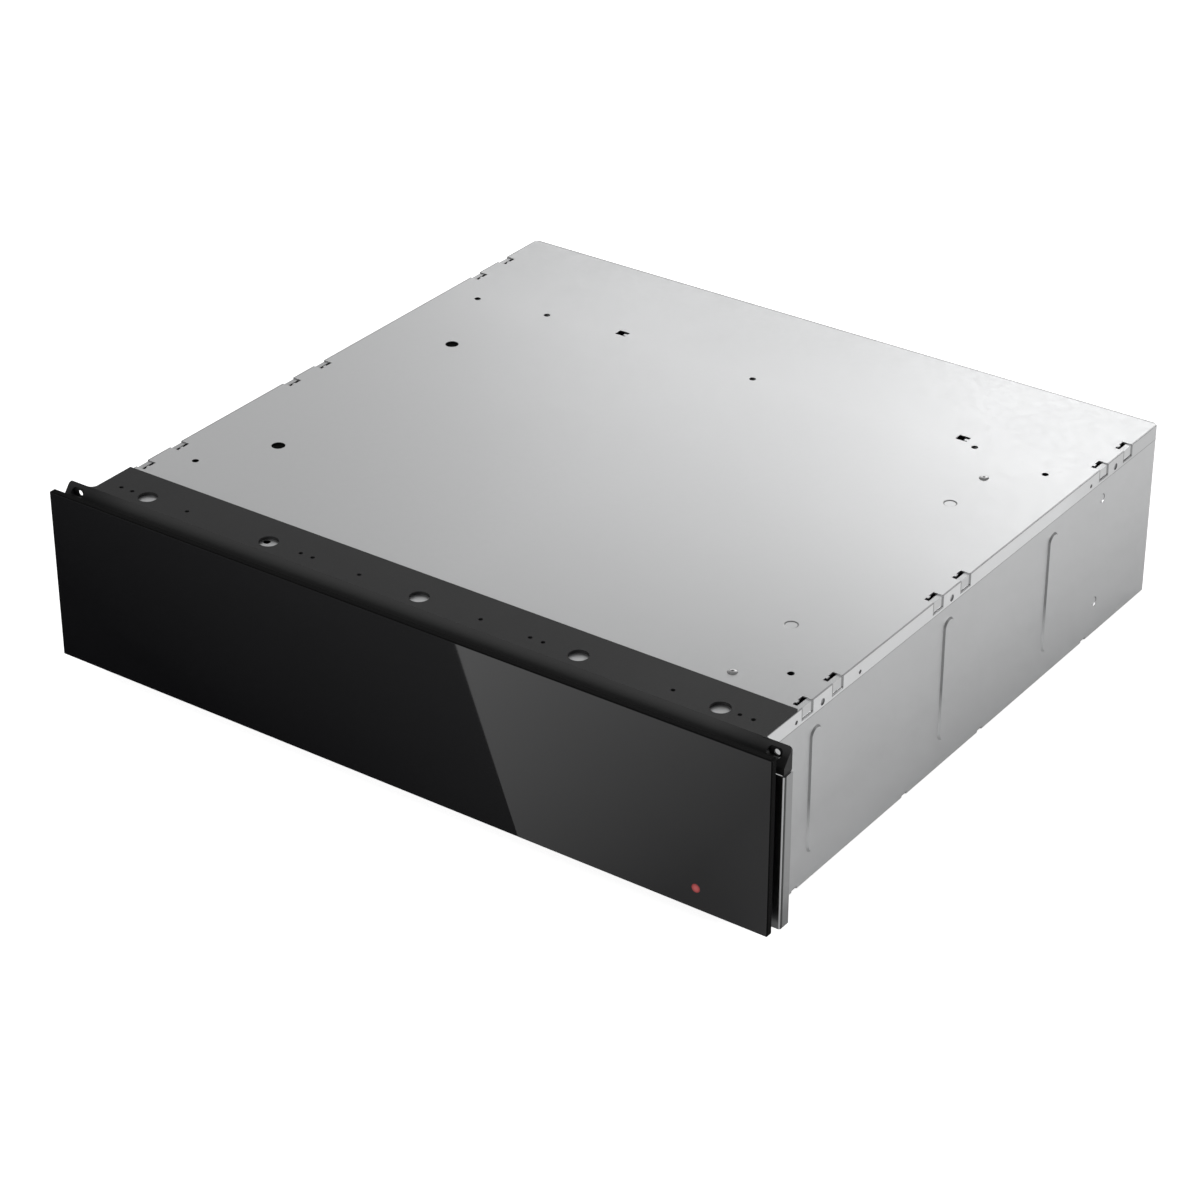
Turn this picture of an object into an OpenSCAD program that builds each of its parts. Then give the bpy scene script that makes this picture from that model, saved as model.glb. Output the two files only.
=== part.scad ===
// Built-in warming drawer with a sheet steel housing, a black front rail and a handleless glass front.
// Lengths are in millimetres. Every piece is drawn from the glass's face backwards (y) and from the
// housing's underside upwards (z), and seat() moves it to the part's own origin.

/* [Glass front] */
// Width of the glass front
front_w = 595; // [580:1:640]
// Height of the glass front
front_h = 131; // [127:0.5:150]
// Thickness of the glass
glass_t = 4.7; // [4:0.1:5.2]
// Height of the glass's lower edge above the underside
glass_lift = 9.6; // [8:0.1:12]
// Chamfer round the glass's front face
glass_chamfer = 0.8; // [0.4:0.1:1.2]
// Radius of the glass's corners
glass_corner_r = 1.6; // [0.8:0.1:3]
// Diameter of the indicator light
light_d = 6.4; // [5:0.1:8]
// Distance of the indicator light from the side of the tray behind the glass
light_inset = 28.4; // [24:0.1:60]
// Height of the indicator light above the glass's lower edge
light_z = 16.1; // [14:0.1:20]

/* [Housing] */
// Distance from the glass's side edge in to the top cover's side
cover_inset = 20.5; // [19:0.1:24]
// Height of the glass's top edge above the top cover
cover_drop = 3; // [1:0.1:4]
// Depth from the glass's face to the housing's rear
body_d = 540.8; // [534:0.1:552]
// Thickness of the housing's sheet
sheet_t = 1; // [0.8:0.1:1.2]
// Height of the top cover's side flanges
flange_h = 11.4; // [10.5:0.1:13]
// Width of the folded lips inside the housing
lip_w = 12; // [10:0.5:12]
// Length of a lanced tab on the cover's edge
tab_l = 12; // [9:0.5:14]
// Depth to which a lanced tab is pressed in
tab_depth = 0.7; // [0.5:0.1:0.7]
// Distance between the two tabs of a pair
tab_pitch = 35.5; // [32:0.5:40]
// Height of the side panels' beads above the panel
bead_h = 1.3; // [0.8:0.1:1.8]
// Width of the side panels' beads at their foot
bead_w = 13.6; // [10:0.1:16]

/* [Front rail and columns] */
// Distance the ears and columns stand out beyond the glass's side edge
frame_out = 1.5; // [0.5:0.1:3]
// Distance from the glass's face to the cabinet's front edge
frame_y = 22; // [21:0.5:23]
// Distance from the glass's face to the front of the columns
column_y = 12.2; // [11.5:0.1:13]
// Step from the columns' front back to the rail's lip
rail_step = 0.8; // [0.4:0.1:1.2]
// Thickness of the black rail
rail_t = 2.2; // [1.8:0.1:2.4]
// Distance from the glass's face to the rail's rear edge
rail_back = 60.7; // [57:0.1:64]
// Height of the sloped band
slope_h = 11.4; // [10:0.1:12]
// Height of the rail's front from its top to its lower edge
rail_h = 13.6; // [12.5:0.1:14]
// Height of the ears at the rail's ends
ear_h = 17.4; // [16:0.1:19]
// Height of the columns' lower ends above the underside
column_low = 9.4; // [8:0.1:12]
// Length of the slots that open the ears to the front
ear_slot_l = 10.8; // [8:0.1:12]
// Height of the slots that open the ears to the front
ear_slot_w = 5.6; // [5:0.1:6]
// Diameter of the screw holes in the ears' rear plates
ear_hole_d = 4.4; // [3.5:0.1:5]
// Diameter of the rail's large holes
rail_hole_d = 14; // [10:0.5:16]
// Diameter of the rail's small holes
rail_pin_d = 3.2; // [2.5:0.1:4]

/* [Drawer] */
// Distance the closed drawer can be pressed in
press_in = 3; // [2:0.5:3]
// Thickness of the drawer's stainless sheet
liner_t = 1; // [0.8:0.1:1.2]
// Height of the drawer box's underside above the housing's underside
liner_low = 20; // [17:0.5:22]
// Distance of the drawer box's rim below the top cover's upper face
liner_drop = 25.6; // [25:0.1:30]
// Distance from the glass's face to the drawer box's front
liner_front = 47; // [46:0.5:50]
// Depth kept free behind the drawer box
rear_space = 100.8; // [100:0.1:105]
// Outer radius of the drawer box's upright corners
liner_r = 14; // [10:0.5:18]
// Width of the drawer box's turned-out rim
rim_w = 6; // [4:0.5:7]
// Thickness of the anti-slip mat
mat_t = 2; // [1.5:0.1:3]

/* [Slides] */
// Height of each slide
slide_h = 45; // [42:0.5:46]
// Thickness of each slide
slide_w = 13; // [12.6:0.1:14]
// Thickness of the slides' steel
slide_t = 1.2; // [1:0.1:1.3]
// Running gap between the members of a slide
slide_gap = 0.4; // [0.35:0.05:0.5]
// Distance of the slides' middle below the drawer box's middle
slide_drop = 6; // [2:0.5:10]

/* [Controls] */
// Diameter of the temperature knob
knob_d = 21; // [18:0.5:22]
// Height of the temperature knob
knob_h = 8; // [6:0.2:8.4]
// Distance of the temperature knob from the drawer box's side
knob_inset = 57; // [48:1:64]
// Distance of the power button from the drawer box's side
button_inset = 97; // [90:1:112]
// Length of the power button
button_l = 20; // [16:0.5:22]
// Width of the power button
button_w = 11; // [9:0.5:13]
// Travel of the power button
button_travel = 2.5; // [1.5:0.1:2.6]

/* [Warm air] */
// Diameter of the fan rotor
rotor_d = 66; // [58:0.5:68]
// Height of the fan rotor
rotor_h = 26; // [20:0.5:30]
// Number of fan blades
blades = 18; // [12:1:24]
// Diameter of the heating element's tube
element_d = 6.5; // [6:0.1:7.5]
// Diameter of the latch plungers
plunger_d = 8; // [7:0.1:9]
// Distance the cable gland stands out of the rear
gland_out = 7.2; // [6:0.1:9]

/* [Hidden] */
$fn = 48;

// Overrun of every cut, gap round a piece in an opening of its own, and radial play of a shaft in its bore
over = 0.5;
ease = 0.3;
run_gap = 0.08;

// Planes of the housing
cover_w = front_w - 2 * cover_inset;
cover_h = glass_lift + front_h - cover_drop;
frame_w = front_w + 2 * frame_out;
total_d = body_d + gland_out;
side_out = cover_w / 2 - sheet_t;
side_in = side_out - sheet_t;
cover_under = cover_h - sheet_t;
cover_y = frame_y + 2 * sheet_t;
cover_d = body_d - cover_y;
rear_in = body_d - sheet_t;

// Front rail: its levels, the slope's angle and the fillet between strip and ear
rail_top = cover_h + rail_t;
rail_y = column_y + rail_step;
rail_low = rail_top - rail_h;
ear_low = rail_top - ear_h;
slope_a = atan(slope_h / (frame_y - rail_y));
rail_fillet = 5;
ear_x = (cover_w / 2 + frame_w / 2) / 2;
ear_slot_drop = 5.3;
ear_slot_z = rail_top - ear_slot_drop;
ear_hole_drop = 6.9;
ear_hole_z = rail_top - ear_hole_drop;
ear_plate_t = 1.2;
ear_corner_r = 2.5;
ear_foot = 1.5;
ear_nose = 1;
ear_inset = 0.8;
ear_out = frame_w / 2 - ear_inset;
rail_hole_shares = [-0.856, -0.464, 0, 0.464, 0.856];
rail_pin_shares = [0.182, 0.326, 0.363, 0.727, 0.908, 0.944];
rail_row_share = 0.32;

// Top cover: tabs in pairs, holes and recesses, each place a share of half the width and of the depth
pair_shares = [0.1283, 0.4373, 0.8775];
tab_reach = 7.6;
tab_cut_w = 3;
tab_rest = 2.4;
tab_slope_w = 1.1;
tab_tongue_l = 3;
tab_tongue_w = 1.3;
tab_low = cover_h - flange_h + tab_rest;
cover_corner = 3;
cover_lip_h = 10;
spot_d = 5;
dimple_depth = 0.4;
spot_lift = 3.8;
spot_z = cover_h - flange_h + spot_lift;
small_spot_d = 3;
small_spot_shares = [0.0693, 0.2146, 0.808];
cover_hole_d = 5;
cover_hole_shares = [[-0.898, 0.777], [0.898, 0.777], [-0.678, 0.791], [0.678, 0.791], [0, 0.79],
    [-0.898, 0.1413], [0.898, 0.1413], [-0.475, 0.0232]];
large_hole_d = 10;
large_hole_shares = [[-0.78, 0.632], [-0.78, 0.241]];
recess_shares = [[0.78, 0.632], [0.78, 0.241]];
window_w = 9;
window_d = 7;
window_tongue = 2.6;
window_shares = [[-0.4415, 0.805], [0.629, 0.805]];
rivet_d = 7;
rivet_h = 0.9;
rivet_pin_d = 3.6;
rivet_shares = [[0.7816, 0.72], [0.786, 0.1026]];

// Side panels: beads, dimples, notches and the screws that hold a column
bead_shares = [0.1176, 0.4358, 0.7107];
bead_low = 20;
bead_gap = 11;
bead_high = cover_h - flange_h - bead_gap;
dimple_d = 7;
dimple_slope_w = 0.8;
dimple_share = 0.849;
dimple_zs = [for (share = [0.196, 0.807]) share * cover_h];
notch_shares = [0.074, 0.337, 0.531, 0.817];
notch_l = 6;
notch_h = 2;
column_lip = 7;
column_corner_r = 1.5;
column_screw_inset = 15;
column_screw_y = (column_y + sheet_t + frame_y) / 2;
screw_r = 1.9;
screw_head_r = 3.6;
screw_head_h = 1.8;
screw_top_share = 0.7;
screw_grip = 3;
screw_zs = [for (share = [0.189, 0.509, 0.785]) share * cover_h];

// Base and rear panel
base_bead_w = 16;
base_bead_h = 1.2;
base_bead_shares = [-0.55, 0, 0.55];
vent_w = 4;
vent_l = 26;
vent_pitch = 9;
vents = 9;
vent_z = 40;

// Heat shield under the cover, with the insulation in it
shield_h = 10.6;
shield_low = cover_h - shield_h;
shield_side_gap = 5;
shield_w = 2 * (side_in - lip_w - shield_side_gap);
shield_inset = 7;
shield_y = rail_back + shield_inset;
liner_back = body_d - rear_space;
shield_back = liner_back - shield_side_gap;

// Slides: members nested from the side panel inwards
slide_inset = 6;
slide_y = frame_y + slide_inset;
slide_l = liner_back - slide_inset - slide_y;
liner_top = cover_h - liner_drop;
slide_z = (liner_low + liner_top) / 2 - slide_drop;
nest = slide_t + slide_gap;
slide_hole_d = 5;
slide_hole_shares = [0.12, 0.5, 0.88];
slide_hole_ys = [for (s = slide_hole_shares) slide_y + s * slide_l];

// Drawer: glass, carrier, trough, fascia and box
light_at = glass_lift + light_z;
tape_t = 1;
tape_w = 8;
carrier_y = glass_t + tape_t;
carrier_back = 20;
carrier_rest = 4.4;
carrier_low = glass_lift + carrier_rest;
inner_drop = 19.6;
carrier_top = cover_h - inner_drop;
carrier_gap = 3;
carrier_half = side_in - carrier_gap;
light_x = carrier_half - light_inset;
trough_t = 1.2;
trough_low = 20;
fascia_drop = 2;
trough_top = liner_top - fascia_drop;
fascia_t = 3;
fascia_top = trough_top + fascia_t;
fascia_mid = (carrier_back + liner_front) / 2;
box_half = side_in - slide_w;
floor_top = liner_low + liner_t;
lamp_l = 10;
lamp_wall = 2.6;
mat_gap = 6;
strike_inset = 37;
strike_x = box_half - strike_inset;
strike_w = 24;
strike_h = 22;
strike_t = 1.2;

// Controls
knob_x = box_half - knob_inset;
button_x = box_half - button_inset;
knob_shaft_r = 3;
knob_shaft_l = 15;
knob_dish = 1;
knob_ribs = 24;
knob_rib_r = 0.7;
knob_rib_share = 0.33;
pointer_w = 1.6;
regulator_w = 34;
regulator_d = 20;
regulator_h = 26;
button_rise = 1.4;
button_foot = 1.2;
button_flange = 1;
switch_h = 18;
switch_post = 3;
switch_top = trough_top - 2 * ease - button_foot - button_travel;

// Warm air: duct, fan, element and thermostat
duct_t = 1;
duct_gap = 4.4;
duct_front = liner_back + strike_t + press_in + duct_gap;
duct_rear_gap = 8;
duct_back = rear_in - duct_rear_gap;
duct_top = cover_h - inner_drop;
duct_share = 0.618;
duct_w = 2 * duct_share * side_in;
vent_share = 0.706;
vent_x = vent_share * duct_w / 2;
air_zs = [for (share = [0.407, 0.729]) share * duct_top];
grille_t = 1.2;
fan_y = (duct_front + duct_back) / 2;
motor_r = 25;
motor_h = 28;
motor_rim = 3;
shaft_r = 2;
shaft_l = 50;
rotor_gap = 2;
hub_r = 9;
blade_t = 1.2;
blade_l = 13;
blade_a = 35;
element_r = 17;
element_in = 60;
element_z = 50;
element_plate = 3;
thermostat_d = 18;
thermostat_nose_r = 6;
thermostat_h = 6;
thermostat_x = 95;
thermostat_drop = 23;
thermostat_z = duct_top - thermostat_drop;

// Terminal box with its gland, and the power supply
terminal_inset = 50;
terminal_x = side_in - terminal_inset;
terminal_w = 60;
terminal_d = 34;
terminal_drop = 73.6;
terminal_low = cover_h - terminal_drop;
terminal_h = 40;
terminal_t = 2;
gland_z = terminal_low + terminal_h / 2;
gland_thread_r = 8;
gland_bore_r = 4.5;
gland_nut_r = 12;
gland_inner_l = 9;
supply_w = 68;
supply_gap = 3;
supply_x = side_in - lip_w - supply_gap - supply_w / 2;
supply_d = 34;
supply_h = 74;
supply_low = 22;
supply_groove_shares = [0.17, 0.33, 0.5, 0.67, 0.83];

// Push latches behind the drawer
latch_x = strike_x;
latch_w = 24;
latch_h = 22;
latch_l = 48;
latch_inset = 1;
latch_y = duct_front + latch_inset;
latch_bracket = 2;
plunger_l = 38;
plunger_tip = 1.5;
plunger_gap = 0.4;
plunger_y = liner_back + strike_t + press_in + plunger_gap;
plunger_travel = 4;

module seat() translate([0, -total_d / 2, 0]) children();
module left() mirror([1, 0, 0]) children();
module both() for (side = [0, 1]) mirror([side, 0, 0]) children();
module block(low, high) translate(low) cube(high - low);
module along_x(low, high) translate([low, 0, 0]) rotate([90, 0, 90]) linear_extrude(high - low) children();
module along_y(low, high) translate([0, high, 0]) rotate([90, 0, 0]) linear_extrude(high - low) children();
module along_z(low, high) translate([0, 0, low]) linear_extrude(high - low) children();
module rod_x(r, l) rotate([0, 90, 0]) cylinder(r = r, h = l);
module rod_y(r, l) rotate([-90, 0, 0]) cylinder(r = r, h = l);

// Places on the cover from their shares
function cover_at(share) = [share[0] * cover_w / 2, cover_y + share[1] * cover_d];
function depth_at(share) = cover_y + share * cover_d;
tab_ys = [for (s = pair_shares, e = [-1, 1]) depth_at(s) + e * tab_pitch / 2];

// A pressed bead or its hollow: round-ended, with sides at 45 degrees, rising along +z and running along +y
module bead_form(foot_r, rise, run) {
    for (end = [0, run]) {
        translate([0, end, 0])
            cylinder(r1 = foot_r, r2 = foot_r - rise, h = rise);
    }
    along_y(0, run)
        polygon([[-foot_r, 0], [foot_r, 0], [foot_r - rise, rise], [rise - foot_r, rise]]);
}

// An outline with round corners, drawn about the middle of a rectangle
module round_rect(w, d, r) {
    square([w, d - 2 * r], center = true);
    square([w - 2 * r, d], center = true);
    for (x = [-1, 1], y = [-1, 1]) {
        translate([x * (w / 2 - r), y * (d / 2 - r)])
            circle(r);
    }
}

// A slot's outline, lying along x
module slot_shape(l, w) {
    square([l - w, w], center = true);
    for (x = [-1, 1]) {
        translate([x * (l - w) / 2, 0])
            circle(w / 2);
    }
}

// Folded steel cover, its lanced tabs pressed in at both side edges
module top_cover() color("silver") seat() difference() {
    union() {
        along_y(cover_y, body_d)
            cover_section();
        block([lip_w + sheet_t - side_in, cover_y, cover_h - cover_lip_h],
            [side_in - lip_w - sheet_t, cover_y + sheet_t, cover_under + sheet_t / 2]);
        both() for (y = tab_ys) {
            tab_shell(y);
        }
    }
    both() for (y = tab_ys) {
        tab_pocket(y);
    }
    both() cover_corner_cut();
    both() for (s = pair_shares) {
        flange_spot(depth_at(s), spot_d);
    }
    both() for (s = small_spot_shares) {
        flange_spot(depth_at(s), small_spot_d);
    }
    for (s = cover_hole_shares) {
        cover_drill(s, cover_hole_d);
    }
    for (s = large_hole_shares) {
        cover_drill(s, large_hole_d);
    }
    for (s = recess_shares) {
        translate(cover_at(s))
            translate([0, 0, cover_h - dimple_depth])
                cylinder(r1 = large_hole_d / 2 - tab_slope_w, r2 = large_hole_d / 2, h = dimple_depth);
    }
    for (s = rivet_shares) {
        cover_drill(s, rivet_pin_d);
    }
    for (s = window_shares) {
        translate(cover_at(s))
            along_z(cover_under - over, cover_h + over)
                window_shape();
    }
}

module cover_section() {
    w = cover_w / 2;
    low = cover_h - flange_h;
    polygon([[-w, low], [-w, cover_h], [w, cover_h], [w, low],
        [w - sheet_t, low], [w - sheet_t, cover_under], [sheet_t - w, cover_under], [sheet_t - w, low]]);
}

module cover_drill(share, d) {
    translate(cover_at(share))
        along_z(cover_under - over, cover_h + over)
            circle(d = d);
}

module window_shape() difference() {
    square([window_w, window_d], center = true);
    translate([window_w / 2 - window_tongue, -window_d / 2 + window_tongue / 2])
        square([window_tongue, window_tongue]);
}

module cover_corner_cut() along_z(cover_h - flange_h - over, cover_h + over)
    polygon([[cover_w / 2 - cover_corner, body_d + over], [cover_w / 2 - cover_corner, body_d],
        [cover_w / 2, body_d - cover_corner], [cover_w / 2 + over, body_d - cover_corner],
        [cover_w / 2 + over, body_d + over]]);

module flange_spot(y, d) translate([side_out - over, y, spot_z])
    rod_x(d / 2, sheet_t + 2 * over);

// The sunk sheet of one tab, and the space that its pocket leaves above and beside it
module tab_shell(y) {
    outer = cover_w / 2 - tab_depth;
    top = cover_h - tab_depth;
    half = tab_l / 2 + sheet_t;
    block([cover_w / 2 - tab_reach + tab_cut_w, y - half, top - sheet_t], [outer, y + half, top]);
    block([outer - sheet_t, y - half, tab_low - sheet_t], [outer, y + half, top]);
}

module tab_pocket(y) {
    half = tab_l / 2;
    slot_in = cover_w / 2 - tab_reach;
    slot_out = slot_in + tab_cut_w;
    out = cover_w / 2 + over;
    difference() {
        block([slot_in, y - half, cover_under - tab_depth - over], [slot_out, y + half, cover_h + over]);
        block([slot_in - over, y - half / 2, cover_under - tab_depth - 2 * over],
            [slot_in + tab_tongue_w, y - half / 2 + tab_tongue_l, cover_h + 2 * over]);
    }
    block([slot_out - over / 2, y - half, cover_h - tab_depth], [out, y + half, cover_h + over]);
    intersection() {
        along_z(tab_low - over, cover_h + over)
            pocket_outline(y, half);
        along_y(y - half - 2 * over, y + half + 2 * over)
            polygon([[cover_w / 2 - tab_depth, cover_h + over],
                [cover_w / 2 - tab_depth, tab_low + tab_slope_w], [cover_w / 2, tab_low],
                [out, tab_low], [out, cover_h + over]]);
    }
}

module pocket_outline(y, half) {
    w = cover_w / 2;
    polygon([[w - tab_depth, y + tab_slope_w - half], [w, y - half], [w + over, y - half],
        [w + over, y + half], [w, y + half], [w - tab_depth, y + half - tab_slope_w]]);
}

// Side panel with three pressed beads, its front edge reaching forward beside the column; the right one drawn
module side_panel() difference() {
    union() {
        block([side_in, cover_y, 0], [side_out, body_d, cover_under]);
        block([side_in, column_y + sheet_t, column_low], [side_out, cover_y + over, ear_low]);
        block([side_in - lip_w, cover_y + 2 * sheet_t, cover_under - sheet_t],
            [side_in + sheet_t / 2, rear_in - lip_w - sheet_t, cover_under]);
        block([side_in - lip_w, rear_in - sheet_t, sheet_t],
            [side_in + sheet_t / 2, rear_in, cover_under - sheet_t]);
        for (s = bead_shares) {
            panel_bead(depth_at(s));
        }
    }
    for (s = bead_shares) {
        panel_bead(depth_at(s), sheet_t + over);
    }
    for (y = tab_ys) {
        panel_window(y);
    }
    for (z = dimple_zs) {
        translate([side_out - dimple_depth, depth_at(dimple_share), z])
            rotate([0, 90, 0])
                cylinder(r1 = dimple_d / 2 - dimple_slope_w, r2 = dimple_d / 2, h = dimple_depth);
    }
    for (s = notch_shares) {
        block([side_in - over, depth_at(s), -over], [side_out + over, depth_at(s) + notch_l, notch_h]);
    }
    for (z = screw_zs) {
        translate([side_in - lip_w / 2, rear_in - sheet_t - over, z])
            rod_y(screw_r, sheet_t + 2 * over);
    }
    for (z = column_screw_zs()) {
        translate([side_in - over, column_screw_y, z])
            rod_x(screw_r, sheet_t + 2 * over);
    }
}

function column_screw_zs() = [column_low + column_screw_inset, ear_low - column_screw_inset];

// A bead on the side panel, or with a depth the hollow that leaves one sheet behind it
module panel_bead(y, depth = 0) translate([side_out - depth, y, bead_low + bead_w / 2])
    rotate([90, 0, 90])
        bead_form(bead_w / 2 + bead_shrink(depth), bead_h + bead_deepen(depth),
            bead_high - bead_low - bead_w);

// What a hollow that starts the given depth below the sheet's face gains in foot radius and in rise
function bead_shrink(depth) = depth == 0 ? 0 : depth - sqrt(2) * sheet_t;
function bead_deepen(depth) = depth == 0 ? 0 : depth - sheet_t;

module panel_window(y) {
    half = tab_l / 2 + sheet_t + ease;
    block([cover_w / 2 - tab_reach - ease, y - half, tab_low - sheet_t - ease],
        [side_out + over, y + half, cover_under + over]);
}

module left_side_panel() color("silver") seat() left() side_panel();
module right_side_panel() color("silver") seat() side_panel();

// Base with upturned edges, stiffening beads and vents below the fan
module base_panel() color("silver") seat() difference() {
    union() {
        block([-side_in, cover_y - sheet_t, 0], [side_in, rear_in - sheet_t, sheet_t]);
        both() block([side_in - sheet_t, cover_y, 0], [side_in, rear_in - 2 * sheet_t, lip_w]);
        block([-side_in, cover_y - sheet_t, 0], [side_in, cover_y, lip_w]);
        block([lip_w + sheet_t - side_in, rear_in - 2 * sheet_t, 0],
            [side_in - lip_w - sheet_t, rear_in - sheet_t, lip_w]);
        for (s = base_bead_shares) {
            base_bead(s);
        }
    }
    for (s = base_bead_shares) {
        base_bead(s, sheet_t + over);
    }
    base_vents();
}

module base_vents() both() vent_row(vent_x)
    translate([0, fan_y, 0])
        along_z(-over, sheet_t + duct_t + over)
            rotate(90)
                slot_shape(vent_l, vent_w);

module base_bead(share, depth = 0) translate([share * side_in, 2 * lip_w + cover_y, sheet_t - depth])
    bead_form(base_bead_w / 2 + bead_shrink(depth), base_bead_h + bead_deepen(depth),
        liner_back - 4 * lip_w - cover_y);

module vent_row(middle) for (i = [0:vents - 1]) {
    translate([middle + (i - (vents - 1) / 2) * vent_pitch, 0, 0])
        children();
}

// Rear panel between the side panels, with the vents and the gland's hole
module rear_panel() color("silver") seat() difference() {
    union() {
        block([-side_in, rear_in, 0], [side_in, body_d, cover_under]);
        block([-side_in, rear_in - lip_w, cover_under - sheet_t],
            [side_in, rear_in + sheet_t / 2, cover_under]);
    }
    both() vent_row(vent_x)
        translate([0, 0, vent_z])
            along_y(rear_in - over, body_d + over)
                rotate(90)
                    slot_shape(vent_l, vent_w);
    translate([terminal_x, rear_in - over, gland_z])
        rod_y(gland_thread_r, sheet_t + 2 * over);
    both() for (z = screw_zs) {
        translate([side_in - lip_w / 2, rear_in - over, z])
            rod_y(screw_r, sheet_t + 2 * over);
    }
}

// Black rail: a flat strip on the cover, a sloped band and at each end a hollow wedge-shaped ear, which a
// slot opens to the front and whose rear plate takes the cabinet screw
module front_rail() color("dimgray") seat() difference() {
    union() {
        along_x(-cover_w / 2, cover_w / 2)
            rail_section();
        both() difference() {
            along_x(cover_w / 2 - rail_t, ear_out)
                ear_outline();
            along_x(cover_w / 2, ear_out - rail_t)
                ear_hollow();
            along_y(rail_y - over, frame_y + over)
                ear_corner_cut();
        }
        both() along_z(rail_top - rail_t, rail_top)
            rail_fillet_shape();
    }
    both() translate([ear_x, 0, ear_slot_z])
        along_y(rail_y - over, frame_y - ear_plate_t)
            slot_shape(ear_slot_l, ear_slot_w);
    both() translate([ear_x, frame_y - ear_plate_t - over, ear_hole_z])
        rod_y(ear_hole_d / 2, ear_plate_t + 2 * over);
    for (s = rail_hole_shares) {
        rail_drill(s, rail_hole_d);
    }
    both() for (s = rail_pin_shares) {
        rail_drill(s, rail_pin_d);
    }
}

module rail_drill(share, d) {
    row_y = frame_y + rail_row_share * (rail_back - frame_y);
    translate([share * cover_w / 2, row_y, rail_top - rail_t - over])
        cylinder(d = d, h = rail_t + 2 * over);
}

module rail_section() {
    bend_z = rail_top - slope_h;
    polygon([[rail_back, rail_top], [frame_y, rail_top], [rail_y, bend_z], [rail_y, rail_low],
        [rail_y + rail_t, rail_low], [rail_y + rail_t, bend_z - rail_t * tan((90 - slope_a) / 2)],
        [frame_y + rail_t * tan(slope_a / 2), rail_top - rail_t], [rail_back, rail_top - rail_t]]);
}

module ear_outline() polygon([[frame_y, rail_top], [rail_y, rail_top - slope_h], [rail_y, ear_low + ear_nose],
    [rail_y + ear_nose, ear_low], [frame_y - ear_foot, ear_low], [frame_y, ear_low + ear_foot]]);

// The wedge-shaped space in an ear, in front of its rear plate
module ear_hollow() polygon([
    [frame_y - ear_plate_t, rail_top - rail_t / cos(slope_a) - ear_plate_t * tan(slope_a)],
    [rail_y + rail_t, rail_top - slope_h - rail_t * tan((90 - slope_a) / 2)],
    [rail_y + rail_t, ear_low + rail_t],
    [frame_y - ear_plate_t, ear_low + rail_t]]);

module ear_corner_cut() translate([ear_out - ear_corner_r, rail_top - ear_corner_r]) difference() {
    square(ear_corner_r + over);
    circle(ear_corner_r);
}

module rail_fillet_shape() translate([cover_w / 2, frame_y]) difference() {
    translate([-over, -over])
        square(rail_fillet + over);
    translate([rail_fillet, rail_fillet])
        circle(rail_fillet);
}

// Upright channel beside the drawer opening, the right one drawn
module column() difference() {
    along_z(column_low, ear_low)
        column_section();
    along_z(column_low - over, ear_low + over)
        translate([frame_w / 2 - column_corner_r, column_y + column_corner_r])
            difference() {
                translate([0, -column_corner_r - over])
                    square(column_corner_r + over);
                circle(column_corner_r);
            }
    for (z = column_screw_zs()) {
        translate([side_out - over, column_screw_y, z])
            rod_x(screw_r, sheet_t + 2 * over);
    }
}

module column_section() {
    x_in = side_out;
    x_out = frame_w / 2;
    polygon([[x_in, frame_y], [x_in, column_y], [x_out, column_y], [x_out, frame_y],
        [x_out - column_lip, frame_y], [x_out - column_lip, frame_y - sheet_t],
        [x_out - sheet_t, frame_y - sheet_t], [x_out - sheet_t, column_y + sheet_t],
        [x_in + sheet_t, column_y + sheet_t], [x_in + sheet_t, frame_y]]);
}

module left_column() color("silver") seat() left() column();
module right_column() color("silver") seat() column();

// Tray that hangs under the cover and holds the insulation
module heat_shield() color("lightgray") seat() difference() {
    block([-shield_w / 2, shield_y, shield_low], [shield_w / 2, shield_back, cover_under]);
    block([sheet_t - shield_w / 2, shield_y + sheet_t, shield_low + sheet_t],
        [shield_w / 2 - sheet_t, shield_back - sheet_t, cover_h]);
}

module insulation_mat() color("khaki") seat()
    block([sheet_t + ease - shield_w / 2, shield_y + sheet_t + ease, shield_low + sheet_t],
        [shield_w / 2 - sheet_t - ease, shield_back - sheet_t - ease, cover_under - ease]);

// One member of a slide: a channel whose web stands at web_x and whose flanges reach tip_x, with a row of
// holes
module slide_member(web_x, tip_x, half_h) {
    way = sign(tip_x - web_x);
    difference() {
        translate([0, 0, slide_z])
            along_y(slide_y, slide_y + slide_l)
                polygon([[web_x, -half_h], [tip_x, -half_h], [tip_x, slide_t - half_h],
                    [web_x + way * slide_t, slide_t - half_h], [web_x + way * slide_t, half_h - slide_t],
                    [tip_x, half_h - slide_t], [tip_x, half_h], [web_x, half_h]]);
        for (y = slide_hole_ys) {
            translate([min(web_x, web_x + way * slide_t) - over, y, slide_z])
                rod_x(slide_hole_d / 2, slide_t + 2 * over);
        }
    }
}

module outer_runner() slide_member(side_in, box_half + nest, slide_h / 2);
module middle_runner() slide_member(side_in - nest, box_half + nest, slide_h / 2 - nest);
module inner_runner() slide_member(box_half, side_in - 2 * nest, slide_h / 2 - 2 * nest);

module left_outer_runner() color("lightsteelblue") seat() left() outer_runner();
module right_outer_runner() color("lightsteelblue") seat() outer_runner();
module left_middle_runner() color("lightsteelblue") seat() left() middle_runner();
module right_middle_runner() color("lightsteelblue") seat() middle_runner();
module left_inner_runner() color("lightsteelblue") seat() left() inner_runner();
module right_inner_runner() color("lightsteelblue") seat() inner_runner();

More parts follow.
